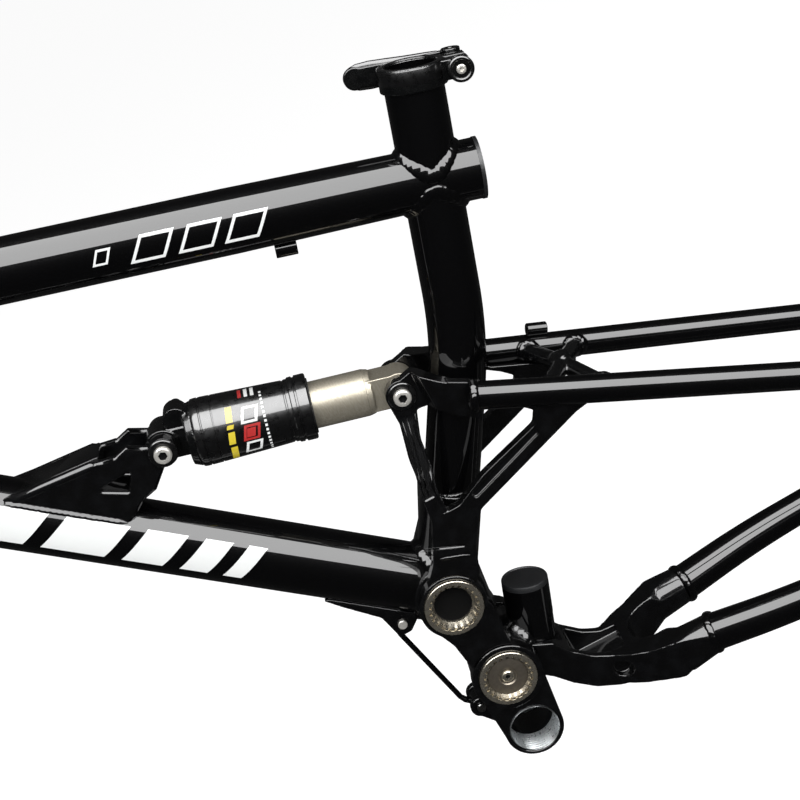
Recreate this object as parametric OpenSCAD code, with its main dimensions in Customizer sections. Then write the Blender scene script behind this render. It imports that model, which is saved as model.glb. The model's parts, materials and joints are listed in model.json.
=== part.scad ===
// Full-suspension mountain bicycle frame with a floating bottom bracket link.
// +X points to the rear, +Y to the drive side and +Z up, in riding position.
// The origin is the middle of the bottom bracket shell, on its axis.

/* [Front triangle] */
// Angle of the upper seat tube to the ground
seat_tube_angle = 73; // [70:0.5:76]
// Angle of the lower seat tube, which aims at the main pivot
lower_tube_angle = 60; // [57:0.5:64]
// Main pivot to the middle of the seat tube's bend
bend_distance = 171.5; // [160:0.5:185]
// Radius of the seat tube's bend
bend_radius = 300; // [200:10:340]
// Bend to the top of the seat tube
seat_tube_reach = 174; // [165:1:230]
// Seat tube outer diameter
seat_tube_d = 36.6; // [35:0.1:38]
// Seat post diameter, the bore of the seat tube
seat_post_d = 31.6; // [27.2:0.1:32]
// Bend to the top tube's axis, along the seat tube
top_tube_joint = 105; // [98:1:115]
// Slope of the top tube
top_tube_slope = 16.8; // [12:0.2:20]
// Length of the top tube's axis from seat tube to head tube
top_tube_length = 538; // [480:1:600]
// Top tube diameter at the head tube
top_tube_d = 40.4; // [38:0.2:44]
// Top tube diameter at the seat tube
top_tube_rear_d = 37.6; // [34:0.2:40]
// Taper length at the top tube's rear end
top_tube_taper = 125; // [80:5:200]
// Slope of the down tube, which aims at the main pivot
down_tube_slope = 40.9; // [38:0.2:44]
// Down tube diameter
down_tube_d = 46; // [42:0.5:50]
// Wall of the top tube and down tube
tube_wall = 1.8; // [1.2:0.1:3]
// Angle of the steering axis
head_angle = 70.5; // [68:0.5:73]
// Head tube length
head_tube_length = 115; // [100:1:150]
// Head tube above the top tube's axis
head_tube_above = 35; // [28:1:50]
// Head tube outer diameter
head_tube_d = 47; // [42:0.5:50]
// Bore for the headset cups
headset_bore = 34; // [33.9:0.1:37]

/* [Pivots] */
// Main pivot behind the bottom bracket
main_pivot_x = -5.5; // [-12:0.5:2]
// Main pivot above the bottom bracket
main_pivot_z = 112; // [109:0.5:120]
// Link pivot behind the bottom bracket
link_pivot_x = 2; // [-3:0.5:6]
// Link pivot above the bottom bracket
link_pivot_z = 46.5; // [45:0.5:48]
// Outer radius of the main pivot's inner shell
pivot_shell_r = 24; // [23:0.1:24.5]
// Outer radius of the swingarm's ears on the main pivot
pivot_ear_r = 22.5; // [21.5:0.1:24]
// Outer radius of the link pivot's inner shell
link_shell_r = 23; // [21.5:0.1:23.5]
// Outer radius of the bottom bracket link's ears
link_ear_r = 24; // [22:0.1:24.5]
// Half width of both inner pivot shells
shell_half = 24.5; // [20:0.5:25]
// Inner face of the ears that clasp the shells
ear_inner = 25; // [25:0.1:25.5]
// Outer face of the ears
ear_outer = 37; // [35:0.5:40]
// Outer diameter of the hollow pivot axles
axle_d = 30; // [28:0.5:31]
// Bore of the hollow pivot axles
axle_bore = 25; // [20:0.5:26]
// Bearing outer diameter
bearing_d = 37; // [36:0.5:40]
// Bearing width
bearing_w = 7; // [4:0.5:10]
// Diameter of the splined lock rings
ring_d = 39; // [36:0.5:41]
// Depth of the lock ring's seat in the ear
ring_depth = 6; // [4:0.5:8]
// How far a lock ring stands out of its ear
ring_proud = 1.4; // [0.5:0.1:3]
// Notches of a lock ring's spline
spline_teeth = 22; // [12:1:30]

/* [Bottom bracket] */
// Width of the bottom bracket shell
bb_width = 68; // [68:1:73]
// Thread diameter of the bottom bracket shell
bb_bore = 34.8; // [34:0.1:37]
// Outer radius of the bottom bracket shell
bb_shell_r = 20.3; // [19.5:0.1:21]

/* [Swingarm] */
// Main pivot to the shock eye, along X
rocker_x = 37; // [30:0.5:45]
// Main pivot to the shock eye, along Z
rocker_z = 140.5; // [130:0.5:150]
// Radius of the rocker's boss on the shock eye
boss_r = 14; // [12:0.5:15]
// Seat stay front end behind the main pivot
seat_stay_x = 77.5; // [74:0.5:82]
// Seat stay front end above the main pivot
seat_stay_z = 124.5; // [120:0.5:128]
// Seat stay diameter
seat_stay_d = 18; // [16:0.5:20]
// Slope of the seat stays
seat_stay_slope = 24.8; // [24:0.1:26]
// Seat stay front end to the mid-plane
seat_stay_y = 38.2; // [36:0.2:40]
// Chain stay diameter at the yoke
chain_stay_d = 25.6; // [23:0.2:27]
// Chain stay diameter at the dropout
chain_stay_rear_d = 18; // [16:0.5:20]
// Chain stay axis above the bottom bracket at the yoke
chain_stay_z = 4; // [2:0.5:6]
// Bottom bracket to the rear axle, along X
chain_stay_length = 430; // [415:1:445]
// Rear axle above the bottom bracket
axle_height = 10; // [4:0.5:16]
// Distance between the dropouts
hub_width = 135; // [130:1:142]
// Dropout plate thickness
dropout_t = 7; // [5:0.5:8]
// Distance between the disc brake's two bolts
disc_bolt_spacing = 51; // [48:0.5:54]
// Slot for the hub axle
axle_slot = 10; // [9:0.1:12]
// Front derailleur stub tube diameter
stub_d = 31.8; // [28.6:0.1:34.9]
// Angle of the stub tube
stub_angle = 72; // [68:0.5:75]
// Stub tube's top above the bottom bracket
stub_top = 84; // [78:1:100]

/* [Shock absorber] */
// Eye to eye length of the extended shock
shock_length = 152.4; // [150:0.2:156]
// Slope of the extended shock
shock_slope = 15.8; // [13:0.2:18]
// Stroke of the shock
shock_stroke = 31.75; // [28:0.25:33]
// Radius of the air can at its front
can_front_r = 22; // [21:0.5:24]
// Radius of the air can at its rear
can_rear_r = 19.4; // [19:0.1:21]
// Bore radius of the air can
can_bore_r = 17.6; // [17:0.1:18]
// Radius of the shock shaft
shaft_r = 15.2; // [14:0.1:15.5]
// Width of the shock eyes
eye_width = 22; // [20:0.5:23]
// Mounting bolt diameter
bolt_d = 10; // [8:0.5:10]
// Play of the rear eye on its bolt
rear_eye_play = 1; // [0.9:0.1:1.5]

/* [Drivetrain strut] */
// Upper strut pin in front of the main pivot
strut_top_x = -38; // [-42:0.5:-34]
// Upper strut pin below the main pivot
strut_top_z = -7; // [-10:0.5:-4]
// Lower strut pin in front of the bottom bracket
strut_bottom_x = -26.5; // [-30:0.5:-24]
// Lower strut pin above the bottom bracket
strut_bottom_z = 20; // [17:0.5:23]
// Strut pin diameter
strut_pin_d = 6; // [5:0.5:7]
// Play of the lower strut eye on its pin
strut_play = 0.6; // [0.4:0.1:1]
// Width of the strut between its lugs
strut_width = 11; // [9:0.5:13]

/* [Cable stops] */
// Seat tube to the rear stop under the top tube
top_stop_rear = 95; // [85:1:140]
// Seat tube to the front stop under the top tube
top_stop_front = 330; // [300:5:400]
// Main pivot to the front stop on the seat stay, along X
stay_stop_front = 127.5; // [120:0.5:134]
// Main pivot to the rear stop on the seat stay, along X
stay_stop_rear = 305.5; // [290:0.5:330]

/* [Seat clamp] */
// Wall of the clamp collar
clamp_wall = 2.4; // [2:0.1:4]
// Height of the clamp collar
clamp_height = 14; // [12:0.5:20]
// Clamp skewer behind the seat tube's axis
skewer_offset = 27.5; // [26:0.5:30]
// Length of the clamp lever
lever_length = 60; // [50:1:70]

/* [Hidden] */
$fn = 64;

// Slack between moving neighbours, and between the pieces of a press or screw fit
gap = 0.4;
fit = 0.05;
cut = 0.5;

// A point of the side view is [x, z]; toward(p, a, d) goes d from p at angle a from +X
function toward(p, a, d) = p + d * [cos(a), sin(a)];
function at(p, y = 0) = [p[0], y, p[1]];
function unit(v) = v / norm(v);
// Where the line from p at angle a meets the line from q at angle b
function meet(p, a, q, b) = let (d = q - p)
    toward(p, a, (d[0] * sin(b) - d[1] * cos(b)) / sin(b - a));

// An outline's corners are [x, z, radius]; rounded() turns them into arcs
function corner_arc(p, q, s, r, steps = 6) = r <= 0 || unit(p - q) * unit(s - q) < -0.999 ? [q] :
    let (u = unit(p - q), v = unit(s - q), h = acos(u * v) / 2, c = q + unit(u + v) * r / sin(h),
        a0 = atan2((q + u * r / tan(h) - c)[1], (q + u * r / tan(h) - c)[0]),
        a1 = atan2((q + v * r / tan(h) - c)[1], (q + v * r / tan(h) - c)[0]),
        turn = (a1 - a0 + 540) % 360 - 180)
    [for (i = [0 : steps]) toward(c, a0 + turn * i / steps, r)];
function flat_point(p) = [p[0], p[1]];
function rounded(pts) = let (n = len(pts)) [for (i = [0 : n - 1]) each corner_arc(
    flat_point(pts[(i + n - 1) % n]), flat_point(pts[i]), flat_point(pts[(i + 1) % n]),
    len(pts[i]) > 2 ? pts[i][2] : 0)];
// A corner of an outline, placed from a named point
function corner(p, dx, dz, r = 0) = [p[0] + dx, p[1] + dz, r];

bb = [0, 0];
main_pivot = [main_pivot_x, main_pivot_z];
link_pivot = [link_pivot_x, link_pivot_z];
bend = toward(main_pivot, lower_tube_angle, bend_distance);
seat_top = toward(bend, seat_tube_angle, seat_tube_reach);
top_joint = toward(bend, seat_tube_angle, top_tube_joint);
head_joint = toward(top_joint, 180 - top_tube_slope, top_tube_length);
down_joint = meet(main_pivot, 180 - down_tube_slope, head_joint, head_angle);
head_top = toward(head_joint, head_angle, head_tube_above);
head_bottom = toward(head_top, head_angle, -head_tube_length);
bend_tangent = bend_radius * tan((seat_tube_angle - lower_tube_angle) / 2);
lug_length = 70;
lug_r = seat_tube_d / 2 + 2.2;
rear_eye = main_pivot + [rocker_x, rocker_z];
front_eye = toward(rear_eye, 180 - shock_slope, shock_length);
strut_top = main_pivot + [strut_top_x, strut_top_z];
strut_bottom = [strut_bottom_x, strut_bottom_z];
strut_pin_r = strut_pin_d / 2;
axle_r = axle_d / 2;
bearing_r = bearing_d / 2;
ring_r = ring_d / 2;
bolt_r = bolt_d / 2;
eye_half = eye_width / 2;
rear_axle = [chain_stay_length, axle_height];
dropout_y = hub_width / 2;
seat_stay_front = main_pivot + [seat_stay_x, seat_stay_z];
seat_stay_flare = 0.086;
seat_stay_end = 397;
chain_stay_front = [134, chain_stay_z];
chain_stay_y = 35.2;
chain_stay_flare = 0.247;
chain_stay_bend_x = 190;
stub_foot = [28.5, link_pivot_z];
stub_axis_top = toward(stub_foot, stub_angle, (stub_top - link_pivot_z) / sin(stub_angle));
skewer = toward(toward(seat_top, seat_tube_angle, 2 - clamp_height / 2), seat_tube_angle - 90,
    skewer_offset);

// Points on the two stays of the right side
function seat_stay_at(x) = [x, seat_stay_y + seat_stay_flare * (x - seat_stay_front[0]),
    seat_stay_front[1] - tan(seat_stay_slope) * (x - seat_stay_front[0])];
function chain_stay_at(x) = [x, chain_stay_y + chain_stay_flare * (x - chain_stay_front[0]),
    chain_stay_z];
chain_stay_end = [rear_axle[0] - 26, dropout_y + dropout_t / 2, chain_stay_z];
// The chain stay is mitred at a corner, in plan: angles of its two runs, radius there
chain_front_angle = atan(chain_stay_flare);
chain_bend_corner = chain_stay_at(chain_stay_bend_x);
chain_rear_angle = atan2(chain_stay_end[1] - chain_bend_corner[1], chain_stay_end[0] - chain_bend_corner[0]);
chain_bend_mid_r = chain_stay_d / 2 - 0.8;
function in_plan(p, a, d) = p + d * [cos(a), sin(a), 0];

// Shapes across the frame: plates and pins that run along Y, and rods between two points
module plate(y0, y1) translate([0, y1, 0]) rotate([90, 0, 0]) linear_extrude(y1 - y0) children();
module outline(pts, y0, y1) plate(y0, y1) polygon(rounded(pts));
module pin(p, y0, y1, r) translate(at(p, y1)) rotate([90, 0, 0]) cylinder(h = y1 - y0, r = r);
module both() {
    children();
    mirror([0, 1, 0]) children();
}
module along(a, b) {
    d = b - a;
    translate(a) rotate([0, acos(d[2] / norm(d)), atan2(d[1], d[0])]) children();
}
module rod(a, b, r1, r2) along(a, b) cylinder(h = norm(b - a), r1 = r1, r2 = r2);
module rod2(p, q, r) rod(at(p), at(q), r, r);
module rear_of(x) translate([x, -200, -200]) cube([600, 400, 900]);
module front_of(x) translate([x - 900, -200, -200]) cube([900, 400, 900]);

// ---- Front triangle ----
module head_tube_rings() {
    rod2(head_bottom, toward(head_bottom, head_angle, 9), head_tube_d / 2 + 1.6);
    rod2(toward(head_top, head_angle, -9), head_top, head_tube_d / 2 + 1.6);
}

// What the main tubes are coped with
module head_tube_cope() {
    rod2(toward(head_bottom, head_angle, -60), toward(head_top, head_angle, 60), head_tube_d / 2);
    head_tube_rings();
}

module head_tube() {
    color("#17181a") difference() {
        union() {
            rod2(head_bottom, head_top, head_tube_d / 2);
            head_tube_rings();
        }
        rod2(toward(head_bottom, head_angle, -cut), toward(head_top, head_angle, cut),
            headset_bore / 2);
    }
}

module top_tube_outer(extra = 0) {
    taper_start = toward(top_joint, 180 - top_tube_slope, top_tube_taper);
    rod2(head_joint, taper_start, top_tube_d / 2 + extra);
    rod(at(taper_start), at(top_joint), top_tube_d / 2 + extra, top_tube_rear_d / 2 + extra);
}

module top_tube() {
    color("#17181a") difference() {
        top_tube_outer();
        top_tube_outer(-tube_wall);
        head_tube_cope();
        rod2(bend, seat_top, seat_tube_d / 2);
    }
}

// The top tube shows again behind the seat tube, closed by a cap
stub_end = toward(top_joint, -top_tube_slope, 29);
module top_tube_stub() {
    color("#17181a") difference() {
        rod2(top_joint, stub_end, top_tube_rear_d / 2);
        rod2(top_joint, toward(stub_end, -top_tube_slope, cut), top_tube_rear_d / 2 - tube_wall);
        rod2(bend, seat_top, seat_tube_d / 2);
    }
}

module top_tube_cap() {
    color("#202224") {
        rod2(stub_end, toward(stub_end, -top_tube_slope, 2.4), top_tube_rear_d / 2 + 0.4);
        rod2(toward(stub_end, -top_tube_slope, -3), stub_end, top_tube_rear_d / 2 - tube_wall - fit);
    }
}

module down_tube() {
    color("#17181a") difference() {
        rod2(down_joint, main_pivot, down_tube_d / 2);
        rod2(down_joint, main_pivot, down_tube_d / 2 - tube_wall);
        head_tube_cope();
        lug_body();
    }
}

module tube_ring(r_out, r_in) difference() {
    circle(r_out);
    circle(r_in);
}

module seat_tube_part(a, b) along(at(a), at(b))
    linear_extrude(norm(b - a)) tube_ring(seat_tube_d / 2, seat_post_d / 2);

module seat_tube() {
    bend_low = toward(bend, lower_tube_angle, -bend_tangent);
    bend_high = toward(bend, seat_tube_angle, bend_tangent);
    bend_centre = toward(bend_low, lower_tube_angle + 90, bend_radius);
    color("#17181a") {
        seat_tube_part(bend_high, seat_top);
        translate(at(bend_centre)) rotate([90, 0, 0]) rotate([0, 0, lower_tube_angle - 90])
            rotate_extrude(angle = seat_tube_angle - lower_tube_angle, $fn = 360)
                translate([bend_radius, 0]) tube_ring(seat_tube_d / 2, seat_post_d / 2, $fn = 64);
        seat_tube_part(toward(main_pivot, lower_tube_angle, lug_length - 22), bend_low);
    }
}

module lug_body() {
    pin(main_pivot, -shell_half, shell_half, pivot_shell_r);
    rod2(main_pivot, toward(main_pivot, lower_tube_angle, lug_length), lug_r);
}

module pivot_forging() {
    color("#1b1c1e") difference() {
        lug_body();
        rod2(toward(main_pivot, lower_tube_angle, lug_length - 22),
            toward(main_pivot, lower_tube_angle, lug_length + cut), seat_tube_d / 2);
        pin(main_pivot, -shell_half - cut, shell_half + cut, axle_r + 0.6);
        both() pin(main_pivot, shell_half - bearing_w, shell_half + cut, bearing_r);
    }
}

// Two cheeks and a top plate on the down tube carry the shock's front eye
module shock_bracket() {
    cheek_in = eye_half + 1.3;
    cheek_out = 18;
    e = front_eye;
    side = [corner(e, -102, 22), corner(e, -37, 16, 3), corner(e, -31, 9, 5), corner(e, -16, 8, 8),
        corner(e, -8, 13, 4), corner(e, 10, 9, 6), corner(e, 9, -11, 8), corner(e, -20, -14, 8),
        corner(e, -29, -22, 3), corner(e, -33, -33), corner(e, -40, -45)];
    color("#1b1c1e") difference() {
        union() {
            both() outline(side, cheek_in, cheek_out);
            outline([corner(e, -100, 22), corner(e, -38, 16), corner(e, -38, 9),
                corner(e, -95, 10)], -cheek_in - 1, cheek_in + 1);
            both() pin(e, cheek_in, cheek_out + 2.5, 12.5);
        }
        rod2(down_joint, main_pivot, down_tube_d / 2);
        pin(e, -cheek_out - 9, cheek_out + 9, bolt_r);
        both() outline([corner(e, -47, -1, 3), corner(e, -25, -3, 2), corner(e, -35, -14, 2)],
            cheek_in - cut, cheek_out + cut);
    }
}

module strut_bracket() {
    a = strut_top;
    cheek_in = strut_width / 2 + gap;
    side = [corner(a, -37, 42), corner(a, -28, 31, 3), corner(a, -10, 11, 2), corner(a, -6, -8, 3),
        corner(a, 3, -8, 4), corner(a, 15, 2), corner(a, 15, 42)];
    color("#1b1c1e") difference() {
        both() outline(side, cheek_in, cheek_in + 6);
        rod2(down_joint, main_pivot, down_tube_d / 2);
        lug_body();
        pin(a, -cheek_in - 9, cheek_in + 9, strut_pin_r);
    }
}

module front_cable_stops() {
    color("#1b1c1e") for (d = [top_stop_rear, top_stop_front]) {
        foot = toward(top_joint, 180 - top_tube_slope, d);
        difference() {
            translate(at(foot)) rotate([0, top_tube_slope, 0]) translate([-7, -5, -28])
                cube([14, 10, 20]);
            top_tube_outer();
            translate(at(foot)) rotate([0, top_tube_slope, 0])
                translate([-8, 0, -24.5]) rotate([0, 90, 0]) cylinder(h = 16, r = 2.2);
        }
    }
}

// ---- Seat clamp ----
module clamp_blank() {
    low = toward(seat_top, seat_tube_angle, 1 - clamp_height);
    rod2(low, toward(seat_top, seat_tube_angle, 1.5), seat_tube_d / 2 + clamp_wall);
    translate(at(skewer)) rotate([0, 90 - seat_tube_angle, 0]) translate([-13, -12.5, -6])
        cube([19, 25, 12]);
}

module seat_clamp() {
    low = toward(seat_top, seat_tube_angle, -clamp_height);
    color("#1e2023") difference() {
        clamp_blank();
        rod2(low, seat_top, seat_tube_d / 2 + fit);
        rod2(low, toward(seat_top, seat_tube_angle, 3), seat_post_d / 2 + 0.2);
        translate(at(skewer)) rotate([0, 90 - seat_tube_angle, 0]) translate([-13, -1.5, -20])
            cube([30, 3, 40]);
        pin(skewer, -13, 13, 3.1);
    }
}

// The skewer's far end carries the cross pin on which the lever turns
lever_y = 19.5;
lever_pin_r = 1.8;
module clamp_skewer() {
    color("#b9bbbd") {
        pin(skewer, -17, lever_y + 2.4, 3);
        translate(at(skewer, lever_y)) rotate([0, 90 - seat_tube_angle, 0])
            cylinder(h = 14, r = lever_pin_r, center = true);
    }
}

module clamp_nut() {
    color("#232426") difference() {
        pin(skewer, -17.5, -12.5, 7);
        pin(skewer, -18, -12, 3 + fit);
    }
}

module clamp_lever() {
    color("#26282a") translate(at(skewer, lever_y)) rotate([0, 90 - seat_tube_angle, 0])
        difference() {
            union() {
                cylinder(h = 15, r = 5.9, center = true);
                translate([-lever_length, 1.8, -6]) cube([lever_length, 4.8, 12]);
                translate([-lever_length, 6.6, 0]) rotate([90, 0, 0]) cylinder(h = 4.8, r = 7);
            }
            cylinder(h = 16, r = lever_pin_r + fit, center = true);
            // Fork that clears the skewer as the lever swings
            translate([-4.8, -8, -3.6]) cube([13.2, 16, 7.2]);
        }
}

// ---- Pivots ----
module hollow_axle(p) difference() {
    pin(p, -ear_outer + ring_depth, ear_outer - ring_depth, axle_r);
    pin(p, -ear_outer, ear_outer, axle_bore / 2);
}

module bearing_pair(p) both() difference() {
    pin(p, shell_half - bearing_w, shell_half, bearing_r);
    pin(p, shell_half - bearing_w - cut, shell_half + cut, axle_r + fit);
    difference() {
        pin(p, shell_half - 0.5, shell_half + cut, bearing_r - 1.2);
        pin(p, shell_half - 1, shell_half + 1, axle_r + 1.2);
    }
}

module lock_ring_pair(p) both() difference() {
    pin(p, ear_outer - ring_depth, ear_outer + ring_proud, ring_r);
    pin(p, ear_outer - ring_depth - cut, ear_outer + ring_proud + cut, axle_bore / 2);
    pin(p, ear_outer - ring_depth + 2, ear_outer + ring_proud + cut, ring_r - 3.9);
    for (i = [0 : spline_teeth - 1]) pin(toward(p, i * 360 / spline_teeth, ring_r - 3.9),
        ear_outer - ring_depth + 2, ear_outer + ring_proud + cut, 1.1);
}

module main_axle() color("#9b9c98") hollow_axle(main_pivot);
module main_bearings() color("#8f9194") bearing_pair(main_pivot);
module main_lock_rings() color("#a9a89c") lock_ring_pair(main_pivot);
module link_axle() color("#9b9c98") hollow_axle(link_pivot);
module link_bearings() color("#8f9194") bearing_pair(link_pivot);
module link_lock_rings() color("#a9a89c") lock_ring_pair(link_pivot);

module link_covers() {
    color("#9c9a8c") both() difference() {
        pin(link_pivot, ear_outer - ring_depth + 2, ear_outer - ring_depth + 4, ring_r - 5.2);
        pin(link_pivot, ear_outer - ring_depth, ear_outer, 2.5);
    }
}

module link_cover_screws() {
    color("#c9cac8") both() {
        pin(link_pivot, ear_outer - ring_depth - 6, ear_outer - ring_depth + 4, 2.5 - fit);
        pin(link_pivot, ear_outer - ring_depth + 4, ear_outer - ring_depth + 5.4, 4.6);
    }
}

// Ears on both ends of an inner shell, with the axle's bore and the lock ring's seat
module ear_bores(p) {
    pin(p, -ear_outer - cut, ear_outer + cut, axle_r);
    both() pin(p, ear_outer - ring_depth, ear_outer + cut, ring_r);
}

module shell_bores(p) {
    pin(p, -shell_half - cut, shell_half + cut, axle_r + 0.6);
    both() pin(p, shell_half - bearing_w, shell_half + cut, bearing_r);
}

// ---- Swingarm ----
// Layers of a rocker plate, from the shock eye's boss outward to the main pivot's ear
boss_in = eye_half + 1.3;
boss_out = 21;
step_in = seat_tube_d / 2 + 3.2;
step_out = 30;
plate_in = 28.5;
plate_out = ear_outer;

// The shock eye's boss and the bar from it to the seat stay, which steps outward past the seat tube
module rocker_bar() {
    s = rear_eye;
    t = seat_stay_front;
    intersection() {
        outline([corner(s, -9, 10.7, 4), corner(s, 0, 14, 8), corner(s, 12, 12, 4), corner(t, -16, 18.5, 8),
            corner(t, -4, 11), corner(t, 3, 0), corner(t, -3, -18), corner(t, -9, -12, 4),
            corner(t, -28, 2, 3), corner(s, 5, -13, 6), corner(s, -11, -8.7, 6)], 0, ear_outer);
        translate([0, 0, 150]) linear_extrude(200) polygon(rounded([
            corner([s[0] - 20, boss_in], 0, 0), corner([s[0] + 16, boss_in], 0, 0, 3),
            corner([s[0] + 26, step_in], 0, 0, 4), corner([t[0] - 6, plate_in - 1], 0, 0, 4),
            corner([t[0] + 6, plate_in - 1], 0, 0), corner([t[0] + 6, plate_out - 0.6], 0, 0),
            corner([t[0] - 13, plate_out - 0.6], 0, 0, 4), corner([s[0] + 15, step_out], 0, 0, 4),
            corner([s[0] + 12, boss_out], 0, 0, 2), corner([s[0] - 20, boss_out], 0, 0)]));
    }
}

// The left arm leans outward from the boss to the neck above the main pivot
module rocker_left_arm() {
    m = main_pivot;
    s = rear_eye;
    intersection() {
        outline([corner(s, -13.4, -2), corner(s, -10.8, -24, 20), corner(s, -16, -46, 20),
            corner(m, 17, 78, 14), corner(m, 14, 54), corner(m, 27.6, 54), corner(m, 27.6, 76, 14),
            corner(s, -4.8, -48, 20), corner(s, -2.6, -30, 20), corner(s, 5, -11)], 0, ear_outer);
        translate([-50, 0, 0]) rotate([90, 0, 90]) linear_extrude(200) polygon(rounded([
            corner([boss_in + 0.6, s[1]], 0, 0), corner([boss_in + 0.6, s[1] - 12], 0, 0, 8),
            corner([plate_in + 0.5, m[1] + 66], 0, 0, 8), corner([plate_in + 0.5, m[1] + 50], 0, 0),
            corner([plate_out - 0.6, m[1] + 50], 0, 0), corner([plate_out - 0.6, m[1] + 76], 0, 0, 8),
            corner([boss_out - 0.6, s[1] - 16], 0, 0, 8), corner([boss_out - 0.6, s[1]], 0, 0)]));
    }
}

// Neck, right arm and the gusset under the seat stay
module rocker_plate() {
    m = main_pivot;
    t = seat_stay_front;
    outline([corner(m, 14.6, 60, 8), corner(m, 18, 76), corner(m, 24, 76), corner(m, 24, 62.4),
        corner(m, 36, 62.8, 8), corner(m, 58, 73.8, 30), corner(m, 101, 87.3, 6),
        corner(m, 106, 96, 4), corner(m, 99, 103), corner(t, -13, 4),
        corner(t, -11, 16), corner(t, 6, 6), corner(t, 16, -14.4, 6), corner(m, 147, 85.4),
        corner(m, 128, 82, 12),
        corner(m, 46, 53, 8), corner(m, 33, 34, 12), corner(m, 26, 14), corner(m, 17, 4),
        corner(m, -14, 4), corner(m, -8, 22, 6), corner(m, 2, 34, 14)], plate_in, plate_out);
}

module rocker() {
    m = main_pivot;
    s = rear_eye;
    difference() {
        union() {
            pin(s, boss_in, boss_out, boss_r);
            rocker_bar();
            rocker_left_arm();
            rocker_plate();
        }
        pin(m, 0, 60, pivot_ear_r);
        pin(s, 0, 60, bolt_r);
        seat_stay_rod();
        // Pocket forged into the rear arm, and the slot across the neck
        outline([corner(m, 47, 61.5, 2), corner(m, 102, 81.5, 2), corner(m, 100.3, 86.2, 2),
            corner(m, 45.3, 66.2, 2)], plate_out - 2, plate_out + cut);
        outline([corner(m, 10, 42.4, 0.8), corner(m, 26, 35, 0.8), corner(m, 26.8, 36.8, 0.8),
            corner(m, 10.8, 44.2, 0.8)], plate_out - 0.8, plate_out + cut);
    }
}

module rocker_right() color("#1b1c1e") rocker();
module rocker_left() color("#1b1c1e") mirror([0, 1, 0]) rocker();

module swing_forging_blank() {
    m = main_pivot;
    l = link_pivot;
    both() pin(m, ear_inner, ear_outer, pivot_ear_r);
    outline([corner(m, -20, -8), corner(m, -13, -26, 4), corner(l, -19, 27, 4), corner(l, -17, 14),
        corner(l, 14, 14), corner(l, 13, 27, 5), corner(m, 23, -17, 5), corner(m, 21, -6)],
        -ear_outer + 1, ear_outer - 1);
    pin(l, -shell_half, shell_half, link_shell_r);
}

module swing_forging() {
    m = main_pivot;
    l = link_pivot;
    color("#1b1c1e") difference() {
        swing_forging_blank();
        pin(m, -ear_inner, ear_inner, pivot_shell_r + gap);
        both() pin(l, shell_half, ear_outer + 9, link_ear_r + gap);
        ear_bores(m);
        shell_bores(l);
    }
}

// The yoke runs from the link shell and forks around the tyre
yoke_end = 136;
module yoke_side() {
    l = link_pivot;
    e = [yoke_end, chain_stay_z];
    outline([corner(l, 8, 6), corner(l, 22, 4), corner(l, 36, -3, 4), corner(l, 44, -15, 6),
        corner(l, 56, -26.5, 12), corner(l, 67, -32.5, 12), corner(l, 90, -33.5, 20), corner(e, 0, 14),
        corner(e, 0, -14), corner(e, -32, -17.5, 20), corner(l, 64, -57.5, 14), corner(l, 48, -49.5, 10),
        corner(l, 35, -38, 8), corner(l, 26, -27, 6), corner(l, 14, -16)], -60, 60);
}

module yoke_plan() {
    y_end = chain_stay_at(yoke_end)[1];
    half = [[0, 20, 0], [60, 20, 10], [69, 20.5, 6], [80, 29, 10], [98, 38.5, 16],
        [112, y_end + 9, 0], [yoke_end, y_end + 13.5, 0], [yoke_end, y_end - 13.5, 0],
        [112, 21.5, 14], [92, 19, 18], [87, 6, 0]];
    right = [for (p = rounded(half)) if (p[1] > 0.01) p];
    left = [for (i = [len(right) - 1 : -1 : 0]) [right[i][0], -right[i][1]]];
    translate([0, 0, -40]) linear_extrude(120) polygon(concat(right, left));
}

// Turns the arms' square section into the round one of the chain stays
module yoke_rounding() {
    y_end = chain_stay_at(yoke_end)[1];
    z = chain_stay_z;
    front_of(95);
    both() {
        rod([yoke_end + cut, y_end, z], [112, 36, z - 1.5], chain_stay_d / 2 + 0.4, 15.3);
        rod([120, 35.8, z - 1], [90, 34, z], 12, 27);
    }
}

module chain_stay_yoke() {
    l = link_pivot;
    color("#1b1c1e") difference() {
        intersection() {
            yoke_side();
            yoke_plan();
            yoke_rounding();
        }
        pin(l, -shell_half - 30, shell_half + 30, link_shell_r);
        // Pocket in the bridge and lightening holes in the arms
        translate([46, -14, 8]) cube([34, 28, 40]);
        both() translate([72, 40, 2]) rotate([90, 0, 0]) cylinder(h = 24, r = 6.5);
        stub_outer();
    }
}

// The derailleur's seat is turned to size at the top of the stub tube
stub_seat = 24;
module stub_outer() {
    seat_low = toward(stub_axis_top, stub_angle, -stub_seat);
    rod2(toward(stub_foot, stub_angle, -8), toward(seat_low, stub_angle, 2), stub_d / 2 - 0.2);
    rod2(seat_low, stub_axis_top, stub_d / 2);
}

module stub_tube() {
    color("#1b1c1e") difference() {
        stub_outer();
        rod2(toward(stub_foot, stub_angle, -4), toward(stub_axis_top, stub_angle, cut), stub_d / 2 - 2);
        pin(link_pivot, -shell_half - 30, shell_half + 30, link_shell_r);
        swing_forging_blank();
    }
}

module stub_cap() {
    color("#2b2d2f") {
        rod2(stub_axis_top, toward(stub_axis_top, stub_angle, 4), stub_d / 2 - 0.4);
        rod2(toward(stub_axis_top, stub_angle, -8), stub_axis_top, stub_d / 2 - 2 - fit);
    }
}

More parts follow.
